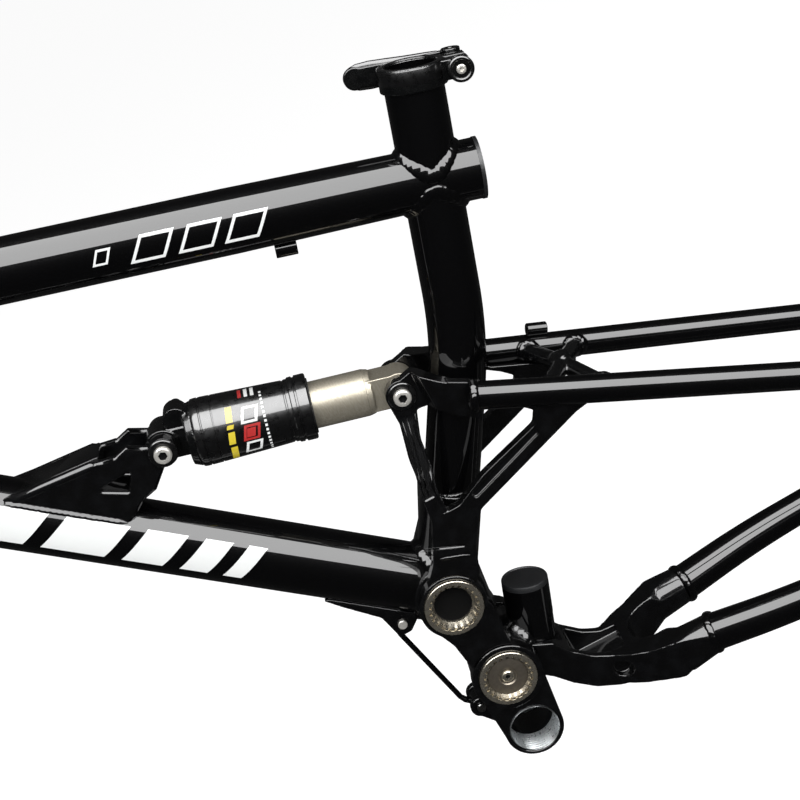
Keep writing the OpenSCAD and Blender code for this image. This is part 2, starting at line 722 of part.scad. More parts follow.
module dropout_plate(disc_mount) {
    a = rear_axle;
    top = [seat_stay_end, seat_stay_at(seat_stay_end)[2]];
    front = [chain_stay_end[0], chain_stay_end[2]];
    side = [corner(front, -14, 6), corner(front, 6, 12, 10), corner(top, -8, -12, 10),
        corner(top, -10, 7), corner(top, 3, 4), corner(top, 16, -16, 10), corner(a, 16, 20, 14),
        corner(a, 15, -15, 8), corner(a, -12, -16, 8), corner(front, -14, -8)];
    mount = [corner(top, 6, -6), corner(disc_bolts[1], -8, 10, 5), corner(disc_bolts[1], 7, 8, 6),
        corner(disc_bolts[1], 9, -9, 5), corner(disc_bolt_low, 9, 13, 6), corner(disc_bolt_low, 10, -9, 7),
        corner(disc_bolt_low, 0, -15, 6), corner(a, 12, -6), corner(a, 4, 20), corner(top, 17, -22)];
    outline(side, dropout_y, dropout_y + dropout_t);
    if (disc_mount) outline(mount, dropout_y, dropout_y + dropout_t);
}

// The hub axle's slot opens downward and slightly forward
axle_slot_up = 75;
function slot_point(up, side) = toward(toward(rear_axle, axle_slot_up, up), axle_slot_up - 90, side);
module axle_slot_cut(y0, y1) {
    h = axle_slot / 2;
    outline([concat(slot_point(h, h), h - 0.02), concat(slot_point(h, -h), h - 0.02),
        slot_point(-40, -h), slot_point(-40, h)], y0, y1);
}

disc_bolt_low = rear_axle + [30, 9];
disc_bolts = [disc_bolt_low, toward(disc_bolt_low, 105.8, disc_bolt_spacing)];
hanger_bolt_points = [rear_axle + [14, 14], rear_axle + [-12, 9]];

module dropout_right() {
    color("#1b1c1e") difference() {
        dropout_plate(false);
        axle_slot_cut(dropout_y - cut, dropout_y + dropout_t + cut);
        for (p = hanger_bolt_points) pin(p, dropout_y - cut, dropout_y + dropout_t + cut, 2);
    }
}

module dropout_left() {
    color("#1b1c1e") mirror([0, 1, 0]) difference() {
        dropout_plate(true);
        axle_slot_cut(dropout_y - cut, dropout_y + dropout_t + cut);
        for (p = disc_bolts) pin(p, dropout_y - cut, dropout_y + dropout_t + cut, 3);
    }
}

// The replaceable hanger lies on the outside of the right dropout
hanger_y = dropout_y + dropout_t;
hanger_hole = rear_axle + [8, -28];
module derailleur_hanger() {
    a = rear_axle;
    side = [corner(a, -17, 14, 5), corner(a, 18, 21, 7), corner(a, 20, -18, 8),
        corner(hanger_hole, 11, -9, 9), corner(hanger_hole, -11, -9, 9), corner(hanger_hole, -11, 8, 6),
        corner(a, -16, -6, 6)];
    color("#8e9093") difference() {
        outline(side, hanger_y, hanger_y + 4);
        axle_slot_cut(hanger_y - cut, hanger_y + 4 + cut);
        pin(hanger_hole, hanger_y - cut, hanger_y + 4 + cut, 5);
        for (p = hanger_bolt_points) pin(p, hanger_y - cut, hanger_y + 4 + cut, 2);
    }
}

module hanger_bolts() {
    color("#b9bbbd") for (p = hanger_bolt_points) {
        pin(p, dropout_y + 0.5, hanger_y + 4, 2 - fit);
        pin(p, hanger_y + 4, hanger_y + 6, 4);
    }
}

module seat_stay_rod(extra = 0) {
    difference() {
        rod(seat_stay_at(seat_stay_front[0] - 6), seat_stay_at(seat_stay_end + 8),
            seat_stay_d / 2 + extra, seat_stay_d / 2 + extra);
        front_of(seat_stay_front[0]);
    }
}

module seat_stay() {
    difference() {
        seat_stay_rod();
        rear_of(seat_stay_end + 2);
        seat_stay_rod(-1.6);
        dropout_plate(false);
    }
}

module seat_stay_right() color("#17181a") seat_stay();
module seat_stay_left() color("#17181a") mirror([0, 1, 0]) seat_stay();

// Crossed struts between the seat stays, arched over the tyre
brace_front_x = 112;
brace_rear_x = 148;
brace_rise = 3;
module seat_stay_brace() {
    a = seat_stay_at(brace_front_x);
    b = seat_stay_at(brace_rear_x);
    hub = [(a[0] + b[0]) / 2, 0, (a[2] + b[2]) / 2 + brace_rise];
    color("#1b1c1e") difference() {
        union() {
            rod(hub - [0, 0, 6.5], hub + [0, 0, 6.5], 7.5, 7);
            both() {
                rod(hub, a, 5.5, 5.5);
                rod(hub, b, 5.5, 5.5);
            }
        }
        both() rod(seat_stay_at(60), seat_stay_at(240), seat_stay_d / 2, seat_stay_d / 2);
    }
}

module tapered_tube(a, b, r1, r2, wall) difference() {
    rod(a, b, r1, r2);
    rod(a, b, r1 - wall, r2 - wall);
}

stay_wall = 1.8;
module chain_stay() {
    mitre = (chain_front_angle + chain_rear_angle) / 2;
    difference() {
        tapered_tube(chain_stay_at(120), in_plan(chain_bend_corner, chain_front_angle, 8),
            chain_stay_d / 2, chain_bend_mid_r, stay_wall);
        front_of(yoke_end);
        translate(chain_bend_corner) rotate([0, 0, mitre]) translate([0, -50, -50]) cube(100);
    }
    difference() {
        tapered_tube(in_plan(chain_bend_corner, chain_rear_angle, -8), chain_stay_end,
            chain_bend_mid_r, chain_stay_rear_d / 2, stay_wall);
        translate(chain_bend_corner) rotate([0, 0, mitre]) translate([-100, -50, -50]) cube(100);
        dropout_plate(false);
    }
}

module chain_stay_right() color("#17181a") chain_stay();
module chain_stay_left() color("#17181a") mirror([0, 1, 0]) chain_stay();

module rear_cable_stops() {
    stops = [seat_stay_at(main_pivot_x + stay_stop_front),
        seat_stay_at(main_pivot_x + stay_stop_rear)];
    color("#1b1c1e") difference() {
        for (p = stops) translate(p) rotate([0, seat_stay_slope, 0]) translate([-7, -4.5, 0])
            cube([14, 9, seat_stay_d / 2 + 7]);
        seat_stay_rod();
        for (p = stops) translate(p) rotate([0, seat_stay_slope, 0])
            translate([-8, 0, seat_stay_d / 2 + 3.8]) rotate([0, 90, 0]) cylinder(h = 16, r = 2.2);
    }
}

// ---- Bottom bracket link and its strut ----
module bb_link() {
    l = link_pivot;
    s = strut_bottom;
    lug_in = strut_width / 2 + gap;
    color("#1b1c1e") difference() {
        union() {
            pin(bb, -bb_width / 2, bb_width / 2, bb_shell_r);
            both() {
                pin(l, ear_inner, ear_outer, link_ear_r);
                outline([corner(l, -link_ear_r + 0.3, -1), corner(l, link_ear_r - 0.3, -1),
                    corner(bb, bb_shell_r - 0.3, 0), corner(bb, -bb_shell_r + 0.3, 0)],
                    ear_inner, bb_width / 2);
                pin(s, lug_in, lug_in + 6, 7.5);
                outline([corner(s, -3, -6.8), corner(s, 3, 6.8), corner(bb, -6, 16), corner(bb, -14, -8)],
                    lug_in, lug_in + 6);
            }
        }
        pin(l, -ear_inner, ear_inner, link_shell_r + gap);
        ear_bores(l);
        pin(bb, -bb_width, bb_width, bb_bore / 2);
        pin(s, -lug_in - 9, lug_in + 9, strut_pin_r);
    }
}

module strut_top_pin() {
    reach = strut_width / 2 + gap + 6;
    color("#a8aaab") {
        pin(strut_top, -reach, reach, strut_pin_r);
        both() pin(strut_top, reach, reach + 1.2, strut_pin_r + 0.8);
    }
}

module strut_bottom_pin() {
    reach = strut_width / 2 + gap + 6;
    color("#a8aaab") {
        pin(strut_bottom, -reach, reach, strut_pin_r);
        both() pin(strut_bottom, reach, reach + 1.2, strut_pin_r + 1.4);
    }
}

// The strut is cranked forward, clear of the line between its pins
strut_eye_r = 6.2;
strut_bushing_r = strut_pin_r + 1.2;
module strut() {
    a = strut_top;
    b = strut_bottom;
    turn = atan2((b - a)[1], (b - a)[0]);
    top_knee = toward(toward(a, turn, 10), turn - 90, 7.5);
    low_knee = toward(toward(b, turn, -10), turn - 90, 7.5);
    color("#26282a") difference() {
        union() {
            pin(a, -strut_width / 2, strut_width / 2, strut_eye_r);
            pin(b, -strut_width / 2, strut_width / 2, strut_eye_r);
            plate(-strut_width / 2, strut_width / 2) {
                polygon([toward(a, turn + 180, 4), toward(a, turn - 90, 6), top_knee,
                    toward(top_knee, turn + 90, 4), a]);
                polygon([top_knee, low_knee, toward(low_knee, turn + 90, 4),
                    toward(top_knee, turn + 90, 4)]);
                polygon([low_knee, toward(b, turn - 90, 6), toward(b, turn, 4), b,
                    toward(low_knee, turn + 90, 4)]);
            }
        }
        pin(a, -strut_width, strut_width, strut_bushing_r);
        pin(b, -strut_width, strut_width, strut_pin_r + strut_play);
    }
}

module strut_bushing() {
    color("#b08d4f") difference() {
        pin(strut_top, -strut_width / 2, strut_width / 2, strut_bushing_r);
        pin(strut_top, -strut_width, strut_width, strut_pin_r + fit);
    }
}

// ---- Shock absorber, drawn along its own axis from the front eye to the rear eye ----
can_start = 21;
can_end = 96;
piston_start = 60;
eye_body_start = shock_length - 21;

module on_shock() along(at(front_eye), at(rear_eye)) children();
module shock_part(z0, z1, r1, r2) on_shock() translate([0, 0, z0]) cylinder(h = z1 - z0, r1 = r1, r2 = r2);
module shock_eye(p, r) pin(p, -eye_half, eye_half, r);

module shock_front_eye() {
    color("#1d1e20") difference() {
        union() {
            shock_eye(front_eye, 11);
            on_shock() {
                translate([-9.5, -eye_half + 1, 0]) cube([19, eye_width - 2, can_start - 3]);
                // Boss that holds the air valve
                translate([-14.5, 0, 11.5]) rotate([90, 0, 0])
                    cylinder(h = eye_width - 4, r = 8, center = true);
            }
            shock_part(can_start - 5, can_start, can_front_r - 3, can_front_r - 1);
            shock_part(can_start, can_start + 5, can_bore_r - fit, can_bore_r - fit);
        }
        shock_eye(front_eye, bolt_r + 2);
        on_shock() translate([-14.5, 0, 11.5]) rotate([-90, 0, 0]) cylinder(h = 30, r = 2.4);
    }
}

module front_eye_bushing() {
    color("#8b8d8f") difference() {
        shock_eye(front_eye, bolt_r + 2);
        pin(front_eye, -eye_width, eye_width, bolt_r + fit);
    }
}

module shock_can() {
    color("#1d1e20") difference() {
        union() {
            shock_part(can_start, can_start + 60, can_front_r, can_rear_r + 0.6);
            shock_part(can_start + 60, can_end - 12, can_rear_r + 0.6, can_rear_r);
        }
        shock_part(can_start - 1, can_end + 1, can_bore_r, can_bore_r);
    }
}

module shock_seal_head() {
    color("#2a2c2e") difference() {
        union() {
            shock_part(can_end - 12, can_end, can_rear_r + 0.5, can_rear_r + 0.5);
            shock_part(can_end - 16, can_end - 12, can_bore_r - fit, can_bore_r - fit);
        }
        shock_part(can_end - 17, can_end + 1, shaft_r + fit, shaft_r + fit);
        shock_part(can_end - 4, can_end + 1, shaft_r + 2.6, shaft_r + 2.6);
    }
}

module shock_seal() {
    color("#111213") difference() {
        shock_part(can_end - 4, can_end + 0.8, shaft_r + 2.6, shaft_r + 2.6);
        shock_part(can_end - 5, can_end + 2, shaft_r + fit, shaft_r + fit);
    }
}

module shock_valve() {
    color("#b9a36a") on_shock() translate([-14.5, 0, 11.5]) rotate([-90, 0, 0]) {
        translate([0, 0, 2]) cylinder(h = 14, r = 2.4 - fit);
        translate([0, 0, eye_half - 2]) cylinder(h = 3, r = 4, $fn = 6);
    }
}

module valve_cap() {
    color("#1a1b1c") on_shock() translate([-14.5, 0, 11.5]) rotate([-90, 0, 0]) difference() {
        translate([0, 0, eye_half + 1]) cylinder(h = 9, r = 4);
        translate([0, 0, eye_half]) cylinder(h = 7, r = 2.4 + fit);
    }
}

module shock_shaft() {
    color("#b5ab95") shock_part(piston_start + 8, eye_body_start, shaft_r, shaft_r);
}

module shock_piston() {
    color("#8b8d8f") difference() {
        shock_part(piston_start, piston_start + 8, can_bore_r - 0.1, can_bore_r - 0.1);
        shock_part(piston_start + 3, piston_start + 5, can_bore_r + 1, can_bore_r + 1);
    }
    color("#8b8d8f") shock_part(piston_start + 3, piston_start + 5, can_bore_r - 2, can_bore_r - 2);
}

module shock_rear_eye() {
    color("#b5ab95") difference() {
        union() {
            shock_eye(rear_eye, 11.5);
            on_shock() translate([-10.8, -eye_half + 0.01, eye_body_start]) cube([21.6, eye_width - 0.02, 21]);
            shock_part(eye_body_start, eye_body_start + 4, shaft_r, shaft_r - 1);
        }
        shock_eye(rear_eye, bolt_r + rear_eye_play);
    }
}

// A shouldered bolt with a round head on the left and a nut on the right
module shock_bolt(p, reach) {
    difference() {
        union() {
            pin(p, -reach - 4.5, reach, bolt_r - fit);
            pin(p, -reach - 4.5, -reach, 6.3);
        }
        translate(at(p, -reach - 5)) rotate([-90, 0, 0]) cylinder(h = 3.6, r = 2.9, $fn = 6);
    }
    pin(p, reach, reach + 5, 6.3);
}

module shock_front_bolt() color("#b9bbbd") shock_bolt(front_eye, 20.5);
module shock_rear_bolt() color("#b9bbbd") shock_bolt(rear_eye, boss_out);

module eye_spacers(p, y0, y1) both() difference() {
    pin(p, y0, y1, 7);
    pin(p, y0 - 1, y1 + 1, bolt_r + fit);
}

module front_eye_spacers() color("#d4d5d4") eye_spacers(front_eye, eye_half + 0.3, eye_half + 1.3);
module rear_eye_spacers() color("#d4d5d4") eye_spacers(rear_eye, eye_half + 0.3, boss_in);

head_tube();
top_tube();
top_tube_stub();
top_tube_cap();
down_tube();
seat_tube();
pivot_forging();
shock_bracket();
strut_bracket();
front_cable_stops();
seat_clamp();
clamp_skewer();
clamp_nut();
clamp_lever();
main_axle();
main_bearings();
main_lock_rings();
rocker_left();
rocker_right();
swing_forging();
chain_stay_yoke();
seat_stay_left();
seat_stay_right();
seat_stay_brace();
chain_stay_left();
chain_stay_right();
dropout_left();
dropout_right();
derailleur_hanger();
hanger_bolts();
stub_tube();
stub_cap();
rear_cable_stops();
bb_link();
link_axle();
link_bearings();
link_lock_rings();
link_covers();
link_cover_screws();
strut();
strut_top_pin();
strut_bottom_pin();
strut_bushing();
shock_front_eye();
shock_can();
shock_seal_head();
shock_seal();
shock_valve();
valve_cap();
shock_shaft();
shock_rear_eye();
shock_piston();
shock_front_bolt();
shock_rear_bolt();
front_eye_bushing();
front_eye_spacers();
rear_eye_spacers();
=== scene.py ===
"""Finish of a full-suspension mountain bicycle frame with a floating bottom bracket link.

Pieces are made in millimetres in the frame's riding position, +X to the rear, +Y to the
drive side and +Z up from the middle of the bottom bracket shell, and stored in metres."""

import json
import math
import random

import bpy
from mathutils import Matrix, Vector
from mathutils.geometry import delaunay_2d_cdt


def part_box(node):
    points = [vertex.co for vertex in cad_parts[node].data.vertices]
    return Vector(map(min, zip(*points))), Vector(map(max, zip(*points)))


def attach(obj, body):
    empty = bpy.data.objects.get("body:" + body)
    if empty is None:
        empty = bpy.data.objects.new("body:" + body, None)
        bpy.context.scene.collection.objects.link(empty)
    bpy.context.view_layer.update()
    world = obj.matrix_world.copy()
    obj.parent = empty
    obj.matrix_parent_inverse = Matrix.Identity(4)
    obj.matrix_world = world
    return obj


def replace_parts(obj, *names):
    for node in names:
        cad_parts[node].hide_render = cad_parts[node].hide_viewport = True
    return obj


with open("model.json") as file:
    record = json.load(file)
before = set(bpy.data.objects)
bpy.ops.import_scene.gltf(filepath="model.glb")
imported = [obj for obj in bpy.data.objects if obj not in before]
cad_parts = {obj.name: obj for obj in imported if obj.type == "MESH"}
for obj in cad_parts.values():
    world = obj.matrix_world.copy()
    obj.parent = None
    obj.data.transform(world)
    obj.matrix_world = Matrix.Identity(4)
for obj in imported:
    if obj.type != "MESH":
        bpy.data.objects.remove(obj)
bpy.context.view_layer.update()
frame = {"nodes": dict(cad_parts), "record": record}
cad = frame["nodes"]
MM = 0.001
slots = {part["node"]: part["material_slot"] for part in frame["record"]["subparts"]}
home = {node: (body, slots[node]) for body, nodes in frame["record"]["behaviour"]["bodies"].items()
        for node in nodes}
front, rear, paint_slot = "front_triangle", "swingarm", "gloss_black_paint"
on_front = (front, paint_slot)
sides = ((1, "right"), (-1, "left"))

# ---- Main lines of the frame, in mm ----


def point(x, z, y=0.0):
    return Vector((x, y, z))


def from_point(start, degrees, length):
    """The point length away from start in the mid-plane, at an angle from +X."""
    a = math.radians(degrees)
    return start + Vector((math.cos(a), 0, math.sin(a))) * length


seat_angle, lower_angle, top_slope, down_slope, head_angle = 73, 60, 16.8, 40.9, 70.5
taper_length, rear_end_length, head_length = 125, 29, 115
link_pivot, main_pivot = point(2, 46.5), point(-5.5, 112)
bend = from_point(main_pivot, lower_angle, 171.5)
seat_top = from_point(bend, seat_angle, 174)
top_joint = from_point(bend, seat_angle, 105)
head_joint = from_point(top_joint, 180 - top_slope, 538)
head_top = from_point(head_joint, head_angle, 35)
head_bottom = from_point(head_top, head_angle, -head_length)
down_joint = from_point(main_pivot, 180 - down_slope, 548.6)
rear_eye = main_pivot + point(37, 140.5)
front_eye = from_point(rear_eye, 180 - 15.8, 152.4)
seat_r, top_r, top_rear_r, down_r, head_r = 18.3, 20.2, 18.8, 23, 23.5
seat_post_r, lug_r, stub_r, seat_stay_r, chain_stay_r = 15.8, 20.5, 15.7, 9.0, 12.8
stay_slope = math.radians(24.8)

# ---- Materials ----


def linear(code):
    """An sRGB hex colour in the linear values that a shader takes."""
    parts = [int(code[i:i + 2], 16) / 255 for i in (1, 3, 5)]
    return [c / 12.92 if c <= 0.04045 else ((c + 0.055) / 1.055) ** 2.4 for c in parts] + [1]


def add(tree, kind, settings=None, links=None):
    """One shader node, with its settings and with what feeds its sockets."""
    node = tree.nodes.new(kind)
    for name, value in (settings or {}).items():
        if isinstance(name, int) or name in node.inputs:
            node.inputs[name].default_value = value
        else:
            setattr(node, name, value)
    for name, source in (links or {}).items():
        tree.links.new(source, node.inputs[name])
    return node


def bare_tree(block):
    """The emptied node tree of a material or a world."""
    block.use_nodes = True
    block.node_tree.nodes.clear()
    return block.node_tree


def surface(name, colour, roughness, settings=None):
    """A material with its tree, its shader and the place on the piece in millimetres."""
    material = bpy.data.materials.new(name)
    tree = bare_tree(material)
    shader = add(tree, "ShaderNodeBsdfPrincipled",
                 {"Base Color": linear(colour), "Roughness": roughness, **(settings or {})})
    add(tree, "ShaderNodeOutputMaterial", {}, {"Surface": shader.outputs[0]})
    seat = add(tree, "ShaderNodeTexCoord")
    place = add(tree, "ShaderNodeVectorMath", {"operation": "SCALE", "Scale": 1 / MM},
                {0: seat.outputs["Object"]}).outputs[0]
    return material, tree, shader, place


def noise(tree, place, size, detail=2.0, stretch=(1, 1, 1)):
    """Noise whose blotches are about size mm across, stretched along an axis."""
    moved = add(tree, "ShaderNodeMapping", {"Scale": stretch}, {"Vector": place}).outputs[0]
    return add(tree, "ShaderNodeTexNoise", {"Scale": 1 / size, "Detail": detail},
               {"Vector": moved}).outputs[0]


def between(tree, value, low, high, out_low, out_high):
    """The value's span low to high, carried to another span."""
    return add(tree, "ShaderNodeMapRange",
               {1: low, 2: high, 3: out_low, 4: out_high}, {0: value}).outputs[0]


def relief(tree, shader, height, depth, coat=False):
    """Relief of depth mm on the surface, and on its clear coat where there is one."""
    bump = add(tree, "ShaderNodeBump", {"Strength": 1.0, "Distance": depth * MM}, {"Height": height})
    tree.links.new(bump.outputs[0], shader.inputs["Coat Normal" if coat else "Normal"])


def tint(tree, shader, share, low, high):
    """The base colour, which goes from one hex colour to another with share."""
    tone = add(tree, "ShaderNodeMix", {"data_type": "RGBA", 6: linear(low), 7: linear(high)}, {0: share})
    tree.links.new(tone.outputs[2], shader.inputs["Base Color"])


def gloss_black_enamel():
    """Stoved black enamel under clear lacquer on aluminium tube, sprayed and baked: deep
    black that shows lamps as sharp bands, which waver a little with the lacquer's flow."""
    material, tree, shader, place = surface("gloss_black_enamel", "#030304", 0.4, {
        "Coat Weight": 1.0, "Coat Roughness": 0.02, "Coat IOR": 1.5, "Specular IOR Level": 0.04})
    # Orange peel of sprayed lacquer is 2 to 6 mm across
    peel = noise(tree, place, 5.0, 1.0)
    relief(tree, shader, peel, 0.0035, coat=True)
    # Dust and fine handling scuffs, 0.6 mm, drawn a little larger than real so they show
    dust = between(tree, noise(tree, place, 0.6, 4.0), 0.66, 0.78, 0, 1)
    tint(tree, shader, dust, "#030304", "#0d0e10")
    return material


def black_forging_paint():
    """The same black enamel over bead-blasted forgings, sprayed: the blasted skin keeps a
    fine grain, so lamps show as softer patches and the edges catch a thin line of light."""
    material, tree, shader, place = surface("black_forging_paint", "#040405", 0.4, {
        "Coat Weight": 1.0, "Coat Roughness": 0.06, "Coat IOR": 1.5, "Specular IOR Level": 0.08})
    # Blasting leaves dimples under 0.5 mm; drawn at 1.6 mm so that they show
    relief(tree, shader, noise(tree, place, 1.6, 2.0), 0.008, coat=True)
    wear = between(tree, noise(tree, place, 9.0, 5.0), 0.45, 0.75, 0, 1)
    tint(tree, shader, wear, "#040405", "#0b0c0e")
    return material


def black_anodised():
    """Black anodised aluminium, turned and dyed: a tight dark skin with a soft metallic
    edge, and the tool's faint lines left under it."""
    material, tree, shader, place = surface("black_anodised", "#08090a", 0.22, {
        "Metallic": 0.3, "Coat Weight": 0.6, "Coat Roughness": 0.05})
    # Tool lines are 0.2 mm apart; drawn at 0.6 mm so that they show
    relief(tree, shader, noise(tree, place, 0.6, 2.0, (1, 1, 0.2)), 0.004)
    tree.links.new(between(tree, noise(tree, place, 6.0, 4.0), 0.3, 0.7, 0.18, 0.32),
                   shader.inputs["Roughness"])
    return material


def gloss_black_anodised():
    """Polished black anodised aluminium under lacquer, as on a shock's air can: nearly as
    glossy as enamel, with faint lines round it from polishing."""
    material, tree, shader, place = surface("gloss_black_anodised", "#050506", 0.3, {
        "Coat Weight": 1.0, "Coat Roughness": 0.045, "Coat IOR": 1.5})
    relief(tree, shader, noise(tree, place, 6.0, 1.0), 0.002, coat=True)
    tree.links.new(between(tree, noise(tree, place, 4.0, 3.0), 0.3, 0.7, 0.24, 0.36), shader.inputs["Roughness"])
    return material


def bare_metal(name, colour, dark, roughness, grain, stretch=(1, 1, 1), depth=0.0015, metallic=1.0):
    """A bare metal: its tone shifts between two colours in grain-sized blotches, and its
    roughness with them, as machining, plating and fingers leave it."""
    material, tree, shader, place = surface(name, colour, roughness, {"Metallic": metallic})
    blotch = noise(tree, place, grain, 4.0, stretch)
    tint(tree, shader, between(tree, blotch, 0.3, 0.7, 0, 1), dark, colour)
    tree.links.new(between(tree, blotch, 0.3, 0.7, roughness * 1.3, roughness * 0.8),
                   shader.inputs["Roughness"])
    relief(tree, shader, noise(tree, place, grain * 0.3, 3.0, stretch), depth)
    return material


def moulded(name, colour, roughness, grain, depth, settings=None):
    """A moulded polymer with the fine spark-eroded grain of its mould."""
    material, tree, shader, place = surface(name, colour, roughness, settings)
    relief(tree, shader, noise(tree, place, grain, 3.0), depth)
    tree.links.new(between(tree, noise(tree, place, 8.0, 4.0), 0.3, 0.7, roughness * 0.85, roughness * 1.1),
                   shader.inputs["Roughness"])
    return material


def printed_film(name, colour):
    """Screen-printed vinyl under the lacquer: flat even colour with the lacquer's gloss."""
    material, tree, shader, place = surface(name, colour, 0.5, {
        "Coat Weight": 1.0, "Coat Roughness": 0.05, "Coat IOR": 1.5, "Specular IOR Level": 0.3})
    relief(tree, shader, noise(tree, place, 5.0, 1.0), 0.006, coat=True)
    return material


enamel = gloss_black_enamel()
forging = black_forging_paint()
lacquered = gloss_black_anodised()
anodised = black_anodised()
# Electroless nickel on turned steel, slightly yellow, hazed by handling
nickel = bare_metal("nickel_plate", "#bdb6a8", "#aaa496", 0.27, 2.5, depth=0.0006, metallic=0.92)
nickel_cover = bare_metal("nickel_cover", "#7a7368", "#696258", 0.36, 3.0, depth=0.0006, metallic=0.8)
# Phosphated axle tube: a dark grey-brown steel seen down the bore, made darker still as painted shade so that the
# bore looks black
bore_shade_steel = bare_metal("phosphated_steel_bore_shade", "#131211", "#0b0a0a", 0.62, 2.0, metallic=0.5)
bearing_steel = bare_metal("bearing_steel", "#8f8f8d", "#6f6f6d", 0.28, 1.5)
# Stainless socket screws, cold headed, then tumbled bright
stainless = bare_metal("stainless_steel", "#e2e0da", "#cbc8c1", 0.3, 3.0, metallic=0.6)
# Painted shade: a near-black colour with little gloss, laid in the screws' hex sockets and across the hollow axle's
# bore
painted_socket_shade = moulded("socket_shadow", "#070707", 0.8, 0.8, 0.005, {"Specular IOR Level": 0.06})
# Champagne-grey anodised shaft, ground round: fine lines run round it
shaft_metal = bare_metal("shaft_anodised", "#a19b8d", "#8d8779", 0.4, 1.0, (1, 1, 0.3), 0.003, metallic=0.6)
machined = bare_metal("machined_aluminium", "#dcdddc", "#b9babb", 0.26, 1.0, metallic=0.8)
raw = bare_metal("raw_aluminium_bore", "#b4b7b8", "#8f9294", 0.3, 2.0, metallic=0.85)
brass = bare_metal("brass", "#b8944f", "#8d6f38", 0.3, 1.5)
bronze = bare_metal("bronze", "#8d6d47", "#6b5135", 0.42, 1.5)
cap_plastic = moulded("abs_cap", "#1a1b1d", 0.46, 0.7, 0.02)
rubber = moulded("nitrile_rubber", "#0e0e0e", 0.75, 0.5, 0.02)
acetal = moulded("acetal_spacer", "#dcdcd8", 0.38, 0.6, 0.005)
white_film = printed_film("white_film", "#eef0ef")
red_film = printed_film("red_film", "#b3201f")
yellow_film = printed_film("yellow_film", "#d8c22c")

looks = {
    enamel: "head_tube top_tube top_tube_stub down_tube seat_tube seat_stay_left seat_stay_right "
            "chain_stay_left chain_stay_right stub_tube",
    forging: "pivot_forging shock_bracket strut_bracket front_cable_stops rocker_left rocker_right "
             "swing_forging chain_stay_yoke seat_stay_brace dropout_left dropout_right rear_cable_stops bb_link",
    anodised: "seat_clamp clamp_nut clamp_lever shock_front_eye shock_can shock_seal_head strut",
    nickel: "main_lock_rings link_lock_rings",
    nickel_cover: "link_covers",
    bore_shade_steel: "main_axle link_axle",
    bearing_steel: "main_bearings link_bearings",
    stainless: "clamp_skewer hanger_bolts link_cover_screws strut_top_pin strut_bottom_pin shock_front_bolt "
               "shock_rear_bolt",
    shaft_metal: "shock_shaft shock_rear_eye",
    machined: "derailleur_hanger shock_piston front_eye_bushing",
    cap_plastic: "top_tube_cap stub_cap valve_cap",
    rubber: "shock_seal",
    brass: "shock_valve",
    bronze: "strut_bushing",
    acetal: "front_eye_spacers rear_eye_spacers",
}
for material, nodes in looks.items():
    for node in nodes.split():
        cad[node].data.materials.clear()
        cad[node].data.materials.append(material)

# ---- Making pieces ----


def piece(name, points, faces, material, where):
    """A new smooth piece from points in mm; where holds its body and its material slot, and the slot is not used.
    """
    body, slot = where
    mesh = bpy.data.meshes.new(name)
    mesh.from_pydata([Vector(p) * MM for p in points], [], faces)
    mesh.validate()
    mesh.shade_smooth()
    mesh.materials.append(material)
    made = bpy.data.objects.new(name, mesh)
    bpy.context.scene.collection.objects.link(made)
    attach(made, body)
    return made


def sharpen(made, degrees=40):
    """Marks the edges of a piece that turn more than some degrees as sharp."""
    made.data.set_sharp_from_angle(angle=math.radians(degrees))
    return made


def skin_faces(rings, turn, closed):
    """The quads over a row of rings of turn points each."""
    faces = []
    for i in range(rings if closed else rings - 1):
        j = (i + 1) % rings
        faces += [(i * turn + k, i * turn + (k + 1) % turn, j * turn + (k + 1) % turn, j * turn + k)
                  for k in range(turn)]
    return faces


def end_faces(rings, turn):
    """The two flat ends of a row of rings."""
    return [tuple(range(turn))[::-1], tuple(range((rings - 1) * turn, rings * turn))]


def across(direction):
    """Two unit vectors square to a direction; the second stays near the mid-plane."""
    d = direction.normalized()
    if abs(d.y) > 0.99:
        return Vector((1, 0, 0)), Vector((1, 0, 0)).cross(d)
    side = Vector((0, 1, 0)) - d * d.y
    side.normalize()
    return side, side.cross(d)


def around(direction, count):
    """Unit vectors square to a direction, spaced evenly all the way round it."""
    side, up = across(direction)
    turns = [2 * math.pi * k / count for k in range(count)]
    return [side * math.cos(t) + up * math.sin(t) for t in turns]


# Points round a turned piece, and how far a printed film stands off its tube in mm
TURN, FILM = 96, 0.1


def round_tube(a, b, r_a, r_b, meets_a=None, meets_b=None):
    """The rings of a round tube from a to b. An end that meets another tube, given as its
    two ends and radius, follows that tube's surface all the way round."""
    starts, ends = [], []
    for out in around(b - a, TURN):
        p, q = a + out * r_a, b + out * r_b
        low, high = 0.0, 1.0
        for other, is_start in ((meets_a, True), (meets_b, False)):
            if other is None:
                continue
            c, d, r = other
            axis = (d - c).normalized()
            step, off = (q - p), (p - c)
            step, off = step - axis * step.dot(axis), off - axis * off.dot(axis)
            half = -step.dot(off) / step.length_squared
            under = half * half - (off.length_squared - r * r) / step.length_squared
            reach = math.sqrt(max(under, 0))
            if is_start:
                low = half + reach
            else:
                high = half - reach
        starts.append(p + (q - p) * low)
        ends.append(p + (q - p) * high)
    return starts, ends


def straight_tube(name, node, a, b, radius, meets_a=None, meets_b=None, steps=24):
    """A tube that stands for its CAD node, and its two end rings."""
    starts, ends = round_tube(a, b, radius, radius, meets_a, meets_b)
    points = [p.lerp(q, i / steps) for i in range(steps + 1) for p, q in zip(starts, ends)]
    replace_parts(piece(name, points, skin_faces(steps + 1, TURN, False), enamel, home[node]), node)
    return starts, ends


